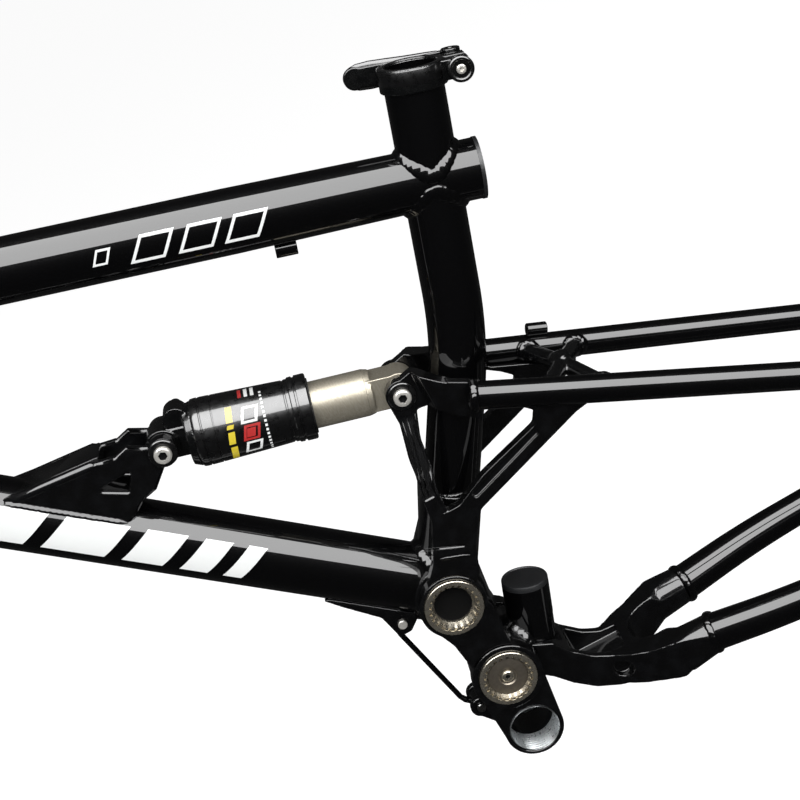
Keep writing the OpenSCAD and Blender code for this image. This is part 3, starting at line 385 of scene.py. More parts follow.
def turned(name, start, end, profile, material, where):
    """A piece turned about the line start to end: profile holds (way along it, radius), and
    a third value where the row is a hexagon of that inner radius."""
    along = (end - start).normalized()
    outs, points = around(along, TURN), []
    for way, radius, *six in profile:
        for k, out in enumerate(outs):
            off_flat = math.radians((360 * k / TURN + 30) % 60 - 30) if six else 0.0
            points.append(start + along * way + out * (radius / math.cos(off_flat)))
    return piece(name, points, skin_faces(len(profile), TURN, False), material, where)


def stand_in(name, node, start, end, profile, material, degrees=40):
    """A turned piece that stands for its CAD node."""
    made = turned(name, start, end, profile, material, home[node])
    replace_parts(sharpen(made, degrees), node)


def resampled(line, step, closed):
    """The line's points at an even spacing, with the way along it."""
    if closed:
        line = line + [line[0]]
    ways = [0.0]
    for p, q in zip(line, line[1:]):
        ways.append(ways[-1] + (q - p).length)
    count = max(4, round(ways[-1] / step))
    result, i = [], 0
    for n in range(count if closed else count + 1):
        way = ways[-1] * n / count
        while i < len(ways) - 2 and ways[i + 1] < way:
            i += 1
        t = (way - ways[i]) / max(ways[i + 1] - ways[i], 1e-9)
        result.append((line[i].lerp(line[i + 1], t), way))
    return result


def weld_bead(name, line, outward, radius, body, closed=True, pitch=3.6, seed=1, height=0.62):
    """A weld laid as overlapping drops along a joint. Each drop is a crescent that trails at
    its sides, and no two are the same size. outward(p) points away from the metal."""
    draw = random.Random(seed)
    samples = resampled([Vector(p) for p in line], pitch / 6, closed)
    drops = [1 + draw.uniform(-0.05, 0.05) for _ in range(int(samples[-1][1] / pitch) + 3)]
    sway = [draw.uniform(-0.1, 0.1) for _ in drops]
    ring, points, count = 14, [], len(samples)
    for n, (p, way) in enumerate(samples):
        before = samples[(n - 1) % count][0] if closed or n else p
        after = samples[(n + 1) % count][0] if closed or n < count - 1 else p
        ahead = (after - before).normalized()
        out = outward(p)
        out = (out - ahead * out.dot(ahead)).normalized()
        side = ahead.cross(out)
        i, t = int(way / pitch), (way / pitch) % 1
        ease = t * t * (3 - 2 * t)
        size = (radius * (drops[i] * (1 - ease) + drops[i + 1] * ease)
                * (0.9 + 0.1 * math.sin(math.pi * t) ** 0.7))
        if not closed:
            size *= min(1.0, 0.35 + 0.65 * min(n, count - 1 - n) / 8)
        centre = p + side * radius * (sway[i] * (1 - ease) + sway[i + 1] * ease)
        for k in range(ring):
            a = 2 * math.pi * k / ring
            points.append(centre + out * (size * height * math.cos(a)) + side * (size * 1.25 * math.sin(a))
                          - ahead * (pitch * 0.45 * math.sin(a) ** 2))
    faces = skin_faces(count, ring, closed) + ([] if closed else end_faces(count, ring))
    return piece(name, points, faces, enamel, (body, paint_slot))


def off_axis(a, b):
    """How far and which way a point lies off the line a to b."""
    along = (b - a).normalized()
    return lambda p: (p - a) - along * (p - a).dot(along)


def corner_between(axis_1, axis_2):
    """The outward way in the corner between two round tubes."""
    off_1, off_2 = off_axis(*axis_1), off_axis(*axis_2)
    return lambda p: off_1(p).normalized() + off_2(p).normalized()


def softened(node, voxel=0.8, rounds=6, shaped=None):
    """A copy of a CAD node with its sharp edges rubbed round, as forging and paint leave
    them. It stands for the node."""
    source = cad[node]
    made = bpy.data.objects.new(node + "_soft", source.data.copy())
    bpy.context.scene.collection.objects.link(made)
    if shaped:
        for vertex in made.data.vertices:
            vertex.co = shaped(vertex.co / MM) * MM
    remesh = made.modifiers.new("skin", "REMESH")
    remesh.mode, remesh.voxel_size = "VOXEL", voxel * MM
    smooth = made.modifiers.new("rub", "SMOOTH")
    smooth.factor, smooth.iterations = 0.5, rounds
    thin = made.modifiers.new("thin", "DECIMATE")
    thin.ratio = 0.4
    graph = bpy.context.evaluated_depsgraph_get()
    mesh = bpy.data.meshes.new_from_object(made.evaluated_get(graph))
    made.modifiers.clear()
    made.data = mesh
    mesh.shade_smooth()
    mesh.materials.clear()
    mesh.materials.append(cad[node].data.materials[0])
    body, slot = home[node]
    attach(made, body)
    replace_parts(made, node)


def swept(name, node, line, radii, bore=0.0):
    """A smooth tube along a line of points that stands for its CAD node, hollow if it has
    a bore."""
    points, count = [], len(line)
    for i, (p, radius) in enumerate(zip(line, radii)):
        way = line[min(i + 1, count - 1)] - line[max(i - 1, 0)]
        points += [p + out * radius for out in around(way, TURN)]
    faces = skin_faces(count, TURN, False) + end_faces(count, TURN)
    if bore:
        for i in reversed(range(count)):
            points += [line[i] + (p - line[i]) * (bore / radii[i]) for p in points[i * TURN:(i + 1) * TURN]]
        faces = skin_faces(2 * count, TURN, True)
    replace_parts(sharpen(piece(name, points, faces, enamel, home[node])), node)


def curved(start, corner, end, tangent, steps=16):
    """Points from start to end, with the corner between them rounded over tangent mm."""
    a, b = (corner + (far - corner).normalized() * tangent for far in (start, end))
    arc = [a.lerp(corner, t / steps).lerp(corner.lerp(b, t / steps), t / steps) for t in range(steps + 1)]
    return [start.lerp(a, t / 12) for t in range(12)] + arc + [b.lerp(end, t / 20) for t in range(1, 21)]


# ---- Tubes ----
seat_line, top_line, down_line = (bend, seat_top), (head_joint, top_joint), (down_joint, main_pivot)
lug_line, head_line = (main_pivot, from_point(main_pivot, lower_angle, 70)), (head_bottom, head_top)
taper = from_point(top_joint, 180 - top_slope, taper_length)
top_head, _ = straight_tube("top_tube_skin", "top_tube", head_joint, taper, top_r, meets_a=(*head_line, head_r))
taper_start, top_seat = round_tube(taper, top_joint, top_r, top_rear_r, meets_b=(*seat_line, seat_r))
piece("top_tube_taper", [p.lerp(q, i / 16) for i in range(17) for p, q in zip(taper_start, top_seat)],
      skin_faces(17, TURN, False), enamel, on_front)
straight_tube("top_tube_stub_skin", "top_tube_stub", top_joint, from_point(top_joint, -top_slope, rear_end_length),
              top_rear_r, meets_a=(*seat_line, seat_r), steps=6)
down_head, down_lug = straight_tube("down_tube_skin", "down_tube", down_joint, main_pivot, down_r,
                                    meets_a=(*head_line, head_r), meets_b=(*lug_line, lug_r))
seat_path = curved(from_point(main_pivot, lower_angle, 50), bend, seat_top, 34)
swept("seat_tube_skin", "seat_tube", seat_path, [seat_r] * len(seat_path), seat_post_r)
stand_in("head_tube_skin", "head_tube", head_bottom, head_top, [
    (0, 17.4), (0, 24.6), (0.5, 25.1), (8.4, 25.1), (9.6, head_r), (105.4, head_r), (106.6, 25.1), (114.5, 25.1),
    (115, 24.6), (115, 17.4), (114.4, 17), (0.6, 17), (0, 17.4)], enamel, 35)


def seat_stay_at(x, side):
    """The right (1) or left (-1) seat stay's axis at x mm behind the bottom bracket."""
    return point(x, 236.5 - math.tan(stay_slope) * (x - 72), side * (38.2 + 0.086 * (x - 72)))


def chain_stay_at(x, side):
    """The chain stay's axis in its straight front part."""
    return point(x, 4, side * (35.2 + 0.247 * (x - 134)))


brace_ends = (112, 148)
brace_hub = sum((seat_stay_at(x, 1) for x in brace_ends), Vector()) / 2
brace_hub.y, brace_hub.z = 0, brace_hub.z + 3
for side, hand in sides:
    stay = [seat_stay_at(72.6 + 326 * i / 40, side) for i in range(41)]
    swept("seat_stay_skin_" + hand, "seat_stay_" + hand, stay, [seat_stay_r] * 41)
    stay = curved(chain_stay_at(134.5, side), chain_stay_at(190, side), point(404, 4, 71 * side), 30)
    # The chain stays taper a little to their bend and more behind it
    swept("chain_stay_skin_" + hand, "chain_stay_" + hand, stay,
          [chain_stay_r - 0.8 * min(1, max(0, p.x - 136) / 54) - 3.0 * max(0, p.x - 190) / 214 for p in stay])

# ---- Welds ----


def ring_about(a, b, radius):
    """Points round the line a to b, at a."""
    return [a + out * radius for out in around(b - a, 48)]


def saddle(axis, radius, other, other_r, start, upward):
    """Where the tube about axis leaves the other tube, going one way from start."""
    way = (axis[1] - axis[0]).normalized() * (1 if upward else -1)
    along = (other[1] - other[0]).normalized()
    step = way - along * way.dot(along)
    line = []
    for out in around(way, 72):
        off = out * radius - along * out.dot(along) * radius
        half = step.dot(off) / step.length_squared
        under = half * half + (other_r ** 2 - off.length_squared) / step.length_squared
        line.append(start + out * radius + way * (math.sqrt(max(under, 0)) - half))
    return line


for n, end in enumerate(("high", "low")):
    weld_bead("weld_top_tube_" + end, saddle(seat_line, seat_r, top_line, 19.1, top_joint, end == "high"),
              corner_between(top_line, seat_line), 4.0, front, seed=3 + n, pitch=4.6, height=0.5)
weld_bead("weld_down_tube", down_lug, corner_between(down_line, lug_line), 4.9, front, seed=5, pitch=5.0,
          height=0.8)
weld_bead("weld_head_top", top_head, corner_between(top_line, head_line), 3.0, front, seed=6)
weld_bead("weld_head_down", down_head, corner_between(down_line, head_line), 3.2, front, seed=7)
for side, hand in sides:
    seam = [from_point(from_point(down_joint, -down_slope, way), 90 - down_slope, 14.3) + point(0, 0, 18.4 * side)
            for way in range(258, 338, 4)]
    weld_bead("weld_bracket_" + hand, seam, off_axis(*down_line), 1.8, front, closed=False, seed=30 + side,
              height=0.5)
weld_bead("weld_lug", ring_about(lug_line[1], seat_top, 18.8), off_axis(*lug_line), 1.9, front, seed=8, pitch=3.0)
stub_line, pivot_line = (point(26.03, 38.89), point(40.68, 84)), [link_pivot + point(0, 0, y) for y in (-30, 30)]
stub_weld, _ = round_tube(*stub_line, stub_r, stub_r, meets_a=(*pivot_line, 23))
weld_bead("weld_stub", stub_weld, corner_between(stub_line, pivot_line), 4.4, rear, seed=9, pitch=4.6, height=0.9)
for side, hand in sides:
    start, ahead = chain_stay_at(136, side), chain_stay_at(150, side)
    weld_bead("weld_chain_stay_" + hand, ring_about(start, ahead, 12.6), off_axis(start, ahead), 2.4, rear,
              seed=10 + side, pitch=3.8, height=0.85)
    stay_line = (seat_stay_at(72, side), seat_stay_at(399, side))
    weld_bead("weld_seat_stay_" + hand, ring_about(seat_stay_at(71, side), stay_line[1], seat_stay_r),
              off_axis(*stay_line), 2.3, rear, seed=14 + side, pitch=3.6, height=0.9)
    for x in brace_ends:
        leg = (brace_hub, seat_stay_at(x, side))
        _, foot = round_tube(*leg, 5.6, 5.6, meets_b=(*stay_line, seat_stay_r))
        weld_bead(f"weld_brace_{hand}_{x}", foot, corner_between(leg, stay_line), 2.7, rear,
                  seed=20 + x + side, pitch=3.6, height=0.9)

# ---- Printed marks ----


def printed(name, tube, corners, film, where):
    """A flat colour printed on a tube, given as its ends and the radius at each. A corner is
    (way along it, degrees round it), with 0 towards the left side and 90 on top."""
    a, b, radius, end_radius = tube
    d = (b - a).normalized()
    left = Vector((0, -1, 0))
    top = left.cross(d)
    top = top if top.z > 0 else -top
    grow = (end_radius - radius) / (b - a).length
    rows, points = 14, []
    (s0, g0), (s1, g1), (s2, g2), (s3, g3) = corners
    for i in range(rows + 1):
        u = i / rows
        for j in range(rows + 1):
            v = j / rows
            way = (s0 * (1 - v) + s1 * v) * (1 - u) + (s3 * (1 - v) + s2 * v) * u
            turn = math.radians((g0 * (1 - v) + g1 * v) * (1 - u) + (g3 * (1 - v) + g2 * v) * u)
            points.append(a + d * way + (left * math.cos(turn) + top * math.sin(turn))
                          * (radius + grow * way + FILM))
    row = rows + 1
    faces = [(i * row + j, i * row + j + 1, (i + 1) * row + j + 1, (i + 1) * row + j)
             for i in range(rows) for j in range(rows)]
    piece(name, points, faces, film, where)


def bar(name, tube, way, width, low, high, lean, film, where, hollow=0.0):
    """A slanted bar across a tube, or only its outline hollow mm thick."""
    end = way + width
    if not hollow:
        outer = [(way, low), (way + lean, high), (end + lean, high), (end, low)]
        printed(name, tube, outer, film, where)
        return
    step = math.degrees(hollow / tube[2])
    tilt = lean * step / (high - low)
    runs = [[(way, low), (way + lean, high), (way + hollow + lean, high), (way + hollow, low)],
            [(end - hollow, low), (end - hollow + lean, high), (end + lean, high), (end, low)],
            [(way, low), (way + tilt, low + step), (end + tilt, low + step), (end, low)],
            [(way + lean - tilt, high - step), (way + lean, high), (end + lean, high),
             (end + lean - tilt, high - step)]]
    for n, run in enumerate(runs):
        printed(f"{name}_{n}", tube, run, film, where)


top_tube_print = (head_joint, top_joint, top_r, top_r)
down_tube_print = (down_joint, main_pivot, down_r, down_r)
for n, way in enumerate((351, 380, 408)):
    bar(f"top_mark_{n}", top_tube_print, way, 21, -24, 24, 9, white_film, on_front, hollow=2.0)
bar("top_mark_dot", top_tube_print, 329, 9, -14, 14, 4, white_film, on_front, hollow=1.4)
for n, (way, width) in enumerate(((232, 40), (283, 40), (334, 26), (371, 18), (399, 12))):
    bar(f"down_mark_{n}", down_tube_print, way, width, -27, 33, 13, white_film, on_front)

# ---- Shock absorber ----
shock_way = (rear_eye - front_eye).normalized()


def on_shock(way):
    """The point way mm behind the shock's front eye on its axis."""
    return front_eye + shock_way * way


stand_in("shock_can_skin", "shock_can", on_shock(21), on_shock(96), [
    (0, 17.7), (0, 20.6), (1.2, 21.8), (3.4, 22), (5.0, 22), (5.4, 21.5), (6.0, 21.5), (6.4, 21.95), (13.0, 21.75),
    (13.2, 21.35), (13.8, 21.35), (14.0, 21.7), (52.0, 20.4), (59.4, 20.05), (59.8, 19.6), (60.6, 19.6), (61, 20.2),
    (63.0, 20.2), (63, 17.7), (0, 17.7)], lacquered)
stand_in("shock_head_skin", "shock_seal_head", on_shock(84), on_shock(96), [
    (0, 17.6), (0, 20.4), (0.6, 21.0), (3.2, 21.1), (3.6, 20.3), (4.6, 20.3), (5.0, 21.3), (11.2, 21.3), (12, 20.5),
    (12, 17.9), (9, 17.8), (0, 17.6)], lacquered)
can_print, on_can = (on_shock(21), on_shock(81), 22, 20.2), home["shock_can"]
for n, (low, high) in enumerate(((-62, -20), (-14, 8), (13, 20), (24, 52))):
    bar(f"can_mark_yellow_{n}", can_print, 19.5 + n * 0.6, 4.2, low, high, 1, yellow_film, on_can)
for n, (low, high, film) in enumerate(((-44, -17, white_film), (-14, 14, red_film), (17, 46, white_film))):
    bar(f"can_mark_box_{n}", can_print, 28.5 + n * 0.8, 10.5, low, high, 2.4, film, on_can, hollow=1.7)
bar("can_mark_core", can_print, 31.8, 5.6, -8, 8, 1.4, red_film, on_can)
for n in range(16):
    bar(f"can_mark_dash_{n}", can_print, 44.6, 1.6, -52 + 8 * n, -47.6 + 8 * n, 0.1, white_film, on_can)
for n, film in enumerate((red_film, white_film, white_film)):
    bar(f"can_mark_top_{n}", can_print, 31.5 + 4 * n, 2.2, 66, 92, 0, film, on_can)

# ---- Bolts with their washers ----
for end, eye, reach in (("front", front_eye, 20.5), ("rear", rear_eye, 21.0)):
    # reach is half the width that the bolt clamps
    node = f"shock_{end}_bolt"
    left, out, tail = eye + point(0, 0, -reach), eye + point(0, 0, -reach - 6), -2 * reach
    sharpen(turned("washer_" + end, eye + point(0, 0, 1 - reach), out, [
        (0.6, 5.0), (0.6, 8.6), (1.0, 9.0), (2.4, 9.0), (2.8, 8.6), (2.8, 5.0)], lacquered, home[node]))
    stand_in("bolt_" + end, node, left, out, [
        (tail - 5, 0), (tail - 5, 5.2), (tail - 4.4, 5.7), (tail, 5.7), (tail, 4.8), (2.6, 4.8), (2.6, 5.7),
        (4.2, 5.7), (5.2, 5.3), (5.7, 4.5), (5.7, 2.7, 6), (5.3, 2.5, 6)], stainless)
    turned("bolt_socket_" + end, left, out, [(5.35, 2.6, 6), (4.5, 2.5, 6), (4.45, 0.0)], painted_socket_shade, home[node])

# ---- Pivot lock rings, link covers and cap ----


def lock_ring(name, pivot, side, node, teeth=22):
    """A threaded lock ring: a flat face with notches for its key round a coned mouth."""
    # (way out from the ring's seat, radius); None stands for the notched rows
    rows, points, steps = [(0, 12.6), (0, 19.45), (7.1, 19.45), (7.4, 19.15), (7.4, 16.6),
                           (None, 16.5), (None, 15.2), (6.2, 15.0), (2.2, 12.6), (0, 12.6)], [], teeth * 8
    for way, radius in rows:
        for k in range(steps):
            t = 2 * math.pi * k / steps
            depth = way if way is not None else (5.2 if k % 8 < 3 else 7.1)
            points.append(pivot + point(radius * math.cos(t), radius * math.sin(t), side * (31 + depth)))
    made = piece(name, points, skin_faces(len(rows), steps, False), nickel, home[node])
    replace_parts(sharpen(made, 30), node)


for pivot, node in ((main_pivot, "main_lock_rings"), (link_pivot, "link_lock_rings")):
    for side, hand in sides:
        lock_ring(f"{node[:-1]}_skin_{hand}", pivot, side, node)
for side, hand in sides:
    low, out = link_pivot + point(0, 0, 33 * side), link_pivot + point(0, 0, 40 * side)
    stand_in("link_cover_skin_" + hand, "link_covers", low, out, [
        (0, 2.6), (0, 12.4), (1.9, 13.4), (2, 13.2), (2, 6.4), (1.2, 5.6), (1.2, 2.6), (0, 2.6)], nickel_cover, 30)
    stand_in("link_screw_skin_" + hand, "link_cover_screws", low, out, [
        (-6, 2.4), (1.2, 2.4), (1.2, 4.2), (2.3, 4.1), (2.8, 3.4), (2.8, 1.7), (2.4, 1.5), (1.4, 1.4), (1.3, 0)],
        nickel, 30)
    turned("link_screw_socket_" + hand, low, out, [(2.5, 1.5, 6), (2.2, 1.4, 6), (2.1, 0)], painted_socket_shade,
           home["link_cover_screws"])
# The wall across the hollow axle, coloured with the painted shade so that the bore looks black
wall = [main_pivot + point(0, 0, y) for y in (-30.8, 30.8)]
sharpen(turned("axle_web", *wall, [(0, 0), (0, 12.45), (61.6, 12.45), (61.6, 0)], painted_socket_shade, home["main_axle"]))
stand_in("stub_cap_skin", "stub_cap", stub_line[1], stub_line[1] * 2 - stub_line[0], [
    (-7.5, 0), (-7.5, 13.6), (0, 13.6), (0, 15.8), (3, 15.8), (3.7, 15.5), (4, 14.9), (3.9, 14.2), (3.4, 13.7),
    (3.4, 0)], cap_plastic, 35)


def cable_stop(name, centre, along, node, radius):
    """A short barrel for a cable's casing, brazed along a tube."""
    half = along.normalized() * 6.8
    stand_in(name, node, centre - half, centre + half, [
        (0, 2.2), (0, radius - 0.4), (0.4, radius), (13.2, radius), (13.6, radius - 0.4), (13.6, 2.2), (0, 2.2)],
        enamel, 35)


for n, (way, reach) in enumerate(((95, 23.6), (330, 24.4))):
    centre = from_point(from_point(top_joint, 180 - top_slope, way), 270 - top_slope, reach)
    cable_stop(f"front_cable_stop_{n}", centre, head_joint - top_joint, "front_cable_stops", 5.2)
for n, x in enumerate((122, 300)):
    off = point(math.sin(stay_slope), math.cos(stay_slope)) * 12.6
    cable_stop(f"rear_cable_stop_{n}", seat_stay_at(x, 1) + off, seat_stay_at(x + 1, 1) - seat_stay_at(x, 1),
               "rear_cable_stops", 4.4)

# ---- Strut ----
strut_top, strut_low = main_pivot + point(-38, -7), point(-26.5, 20)
strut_way = (strut_low - strut_top).normalized()
# The rod is cranked forward, clear of the pivot shell
crank = point(strut_way.z, -strut_way.x)
crank = crank if crank.x < 0 else -crank
line = [strut_top + crank * 3, strut_top + strut_way * 6 + crank * 7.2, strut_top + strut_way * 10 + crank * 8.4,
        strut_low - strut_way * 10 + crank * 8.4, strut_low - strut_way * 6 + crank * 7.2, strut_low + crank * 3]
swept("strut_rod", "strut", line, [2.3, 2.2, 1.9, 1.9, 2.2, 2.3])
for n, eye in enumerate((strut_top, strut_low)):
    sharpen(turned(f"strut_eye_{n}", eye + point(0, 0, -5.5), eye + point(0, 0, 5.5), [
        (0, 3.45), (0, 5.6), (0.6, 6.2), (10.4, 6.2), (11, 5.6), (11, 3.45), (0, 3.45)], anodised,
        home["strut"]), 30)
for node, steel in (("strut_top_pin", stainless), ("strut_bottom_pin", bearing_steel)):
    (x0, y0, z0), (x1, y1, z1) = (Vector(corner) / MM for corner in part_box(node))
    start, long = point((x0 + x1) / 2, (z0 + z1) / 2, y0), y1 - y0
    stand_in(node + "_skin", node, start, start + point(0, 0, long), [
        (0, 0), (0, 2.8), (0.4, 3.15), (long - 0.4, 3.15), (long, 2.8), (long, 0)], steel)

# ---- Fine edges on the rockers ----
# (x, z) of the lines across the left neck, from the main pivot, with their radius and pitch
neck_lines = (((10.4, 43.5), (26.2, 36.3), 0.5, 30.0), ((9.9, 41.8), (25.7, 34.6), 0.5, 30.0),
              ((8.4, 35.2), (26.4, 28.2), 0.9, 2.4))
# (x, z) along the forged edges of the arms; the first three lean in towards the shock's eye
arm_edges = (((22.6, 231), (17.4, 207), (13.4, 190), (10.6, 172)),
             ((25.6, 230), (20.0, 207), (16.2, 190), (13.2, 172)),
             ((33, 237), (27, 222), (24.9, 204), (20.6, 188), (20.4, 172)),
             ((41.5, 173.3), (96.5, 193.3)), ((39.8, 178.4), (94.8, 198.4)))
for side, hand in sides:
    def outward(p, side=side):
        return point(0, 0, side)

    for n, (start, end, radius, pitch) in enumerate(neck_lines if side < 0 else ()):
        a, b = (main_pivot + point(x, z, 36.9 * side) for x, z in (start, end))
        weld_bead(f"neck_line_{hand}_{n}", [a.lerp(b, t / 12) for t in range(13)], outward, radius, rear,
                  closed=False, pitch=pitch, seed=50 + n, height=0.8)
    for n, corners in enumerate(arm_edges):
        edge = [point(x, z, side * (36.5 - 0.33 * min(max(z - 188, 0), 48.5) * (n < 3))) for x, z in corners]
        edge = [p.lerp(q, t / 8) for p, q in zip(edge, edge[1:]) for t in range(8)] + edge[-1:]
        weld_bead(f"arm_edge_{hand}_{n}", edge, outward, 0.42, rear, closed=False, pitch=30.0,
                  seed=60 + n, height=0.9)

# ---- Seat clamp ----
spin, lever_way = (from_point(point(0, 0), angle, 1) for angle in (seat_angle, seat_angle + 90))
skewer = from_point(from_point(seat_top, seat_angle, -5), seat_angle - 90, 27.5)
# The lever's pad: (way along it, half its width, thickness)
rows = [(5, 3.0, 1.6), (5.6, 5.4, 3.4), (8, 6.6, 4.4), (15, 6.9, 5.8), (28, 7.4, 6.0), (40, 8.2, 5.6),
        (50, 8.7, 5.0), (58, 8.2, 4.2), (62.5, 6.6, 3.4), (65.4, 4.0, 2.2), (66.4, 1.2, 0.8)]
points, ring = [], 28
for way, half, thick in rows:
    for k in range(ring):
        c, d = math.cos(2 * math.pi * k / ring), math.sin(2 * math.pi * k / ring)
        y = 21.5 + 2.2 * (way / 60) ** 2 + thick / 2 * (1 + math.copysign(abs(d) ** 0.7, d))
        points.append(skewer + lever_way * way + spin * (half * math.copysign(abs(c) ** 0.8, c)) + point(0, 0, y))
piece("lever_pad", points, skin_faces(len(rows), ring, False) + end_faces(len(rows), ring), lacquered,
      home["clamp_lever"])
nut_seat, nut_out = skewer + point(0, 0, -12.6), skewer + point(0, 0, -19)
lip = [math.radians(a) for a in range(0, 181, 20)]
sharpen(turned("clamp_nut_cup", nut_seat, nut_out, [
    (0, 3.0), (0, 7.2), (0.6, 7.7), (4.6, 7.9), *[(4.6 + 1.4 * math.sin(a), 6.5 + 1.4 * math.cos(a)) for a in lip],
    (4.3, 5.0), (4.2, 2.0)], lacquered, home["clamp_nut"]), 50)
sharpen(turned("clamp_nut_screw", nut_seat, nut_out, [
    (3, 2.9), (5.5, 2.8), (5.9, 2.3), (5.9, 1.3, 6), (4.9, 1.2, 6), (4.7, 0)], stainless, home["clamp_skewer"]))
sharpen(turned("clamp_collar", from_point(seat_top, seat_angle, -13), seat_top, [
    (0, 18.4), (0, 19.8), (0.7, 20.6), (13.4, 20.9), (14.5, 20.3), (14.8, 19.4), (14.6, 16.6),
    (13.2, 16.0), (12.4, 18.35), (0, 18.4)], lacquered, home["seat_clamp"]), 50)

# ---- Bottom bracket thread ----


def thread(name, way, depth=20.0, pitch=2.4):
    """The cut thread inside one end of the bottom bracket shell. Its real pitch is 1.06 mm,
    too fine to show."""
    rows, points = int(depth / pitch * 6), []
    for i in range(rows + 1):
        in_by = depth * i / rows
        for k in range(TURN):
            phase = (in_by / pitch + way * k / TURN) % 1
            radius = 17.15 - 0.9 * (1 - abs(2 * phase - 1))
            a = 2 * math.pi * k / TURN
            points.append((radius * math.cos(a), way * (33.9 - in_by), radius * math.sin(a)))
    piece(name, points, skin_faces(rows + 1, TURN, False), raw, (home["bb_link"][0], "raw_aluminium"))


thread("bb_thread_right", 1)
thread("bb_thread_left", -1)

# ---- Shock bracket ----


def rounded(corners, steps=6):
    """The outline through corners (x, z, radius) with an arc at each that has a radius."""
    line, count = [], len(corners)
    for i, (x, z, *radius) in enumerate(corners):
        here = Vector((x, z))
        u = (Vector(corners[i - 1][:2]) - here).normalized()
        v = (Vector(corners[(i + 1) % count][:2]) - here).normalized()
        if not radius:
            line.append(here)
            continue
        half = u.angle(v) / 2
        centre = here + (u + v).normalized() * (radius[0] / math.sin(half))
        first, last = (here + w * (radius[0] / math.tan(half)) - centre for w in (u, v))
        line += [centre + first.slerp(last, t / steps) for t in range(steps + 1)]
    return line


def bevelled_plate(name, outlines, y0, y1, bevel, node, steps=7):
    """A plate between y0 and y1 with round edges: the first outline bounds it in the
    mid-plane and the others are holes."""
    points, faces, first, last = [], [], [], []
    turns = [math.radians(90 * k / steps) for k in range(steps + 1)]
    layers = [(bevel * (1 - math.sin(a)), y0 + bevel * (1 - math.cos(a))) for a in turns]
    layers += [(inset, y0 + y1 - y) for inset, y in reversed(layers)]
    for n, outline in enumerate(outlines):
        area = sum(p.x * q.y - q.x * p.y for p, q in zip(outline, outline[1:] + outline[:1]))
        line = outline if (area > 0) == (n == 0) else outline[::-1]
        count, base, inward = len(line), len(points), []
        for i, p in enumerate(line):
            u, v = (p - line[i - 1]).normalized(), (line[(i + 1) % count] - p).normalized()
            along = (u + v).normalized()
            inward.append(Vector((-along.y, along.x)) / max(along.dot(v), 0.3))
        for inset, y in layers:
            points += [(p.x + w.x * inset, y, p.y + w.y * inset) for p, w in zip(line, inward)]
        faces += [tuple(base + v for v in face) for face in skin_faces(len(layers), count, False)]
        first.append(list(range(base, base + count)))
        last.append([base + (len(layers) - 1) * count + k for k in range(count)])
    for loops, turn, y in ((first, 1, y0), (last, -1, y1)):
        order = [v for loop in loops for v in loop]
        flat = [Vector((points[v][0], points[v][2])) for v in order]
        place = {v: i for i, v in enumerate(order)}
        rim = [(place[loop[k - 1]], place[loop[k]]) for loop in loops for k in range(len(loop))]
        spots, _, fills, origins = delaunay_2d_cdt(flat, rim, [], 0, 1e-5)[:4]
        index = [order[origin[0]] if origin else len(points) + sum(not o for o in origins[:i])
                 for i, origin in enumerate(origins)]
        points += [(spot.x, y, spot.y) for spot, origin in zip(spots, origins) if not origin]
        for fill in fills:
            middle_x, middle_z = (sum(spots[v][i] for v in fill) / 3 for i in (0, 1))
            crossed = sum((flat[i].y > middle_z) != (flat[j].y > middle_z) and middle_x < flat[i].x + (
                middle_z - flat[i].y) * (flat[j].x - flat[i].x) / (flat[j].y - flat[i].y) for i, j in rim)
            if crossed % 2:
                faces.append(tuple(index[v] for v in fill)[::turn])
    made = piece(name, points, faces, forging, home[node])
    rims = {frozenset((loop[k - 1], loop[k])) for loop in first + last for k in range(len(loop))}
    for edge in made.data.edges:
        edge.use_edge_sharp = frozenset(edge.vertices) in rims
    return made


def about(p, corners):
    """A rounded outline whose corners are given from p."""
    return rounded([(p.x + x, p.z + z, *radius) for x, z, *radius in corners])


cheek = about(front_eye, [(-102, 22), (-38, 16, 3), (-31, 6.5, 6), (-17, 5.5, 9), (-7, 10.5, 4), (9, 7.5, 6),
                          (9, -9, 7), (-20, -14, 8), (-29, -22, 3), (-33, -33, 6), (-46, -44, 10), (-70, -40),
                          (-110, -6)])
window = about(front_eye, [(-53, -2, 2.5), (-21, 0, 2.5), (-32, -15, 2.5)])
web = about(front_eye, [(-100, 21), (-38, 15.5, 1), (-38, 9), (-95, 10)])
for side in (1, -1):
    low, high = sorted((12.3 * side, 18 * side))
    bracket = bevelled_plate(f"bracket_cheek_{side}", [cheek, window], low, high, 2.4, "shock_bracket")
    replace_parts(bracket, "shock_bracket")
    boss_start, boss_end = (front_eye + point(0, 0, y * side) for y in (12.3, 21))
    sharpen(turned(f"bracket_boss_{side}", boss_start, boss_end, [
        (0, 5.0), (0, 9.8), (6.8, 9.8), (7.8, 9.4), (8.2, 8.6), (8.2, 5.0), (0, 5.0)], forging,
        home["shock_bracket"]))
    rib_start, rib_end = (front_eye + point(x, z, 15.2 * side) for x, z in ((-99, 17.6), (-40, 12.4)))
    rib = (rib_end - rib_start).length
    turned(f"bracket_rib_{side}", rib_start, rib_end, [
        (0, 0), (0.6, 2.0), (2.4, 3.5), (rib - 3.5, 3.5), (rib - 1, 2.2), (rib, 0)], forging,
        home["shock_bracket"])
bevelled_plate("bracket_web", [web], -13.0, 13.0, 0.6, "shock_bracket")

# ---- Forgings with rubbed edges ----


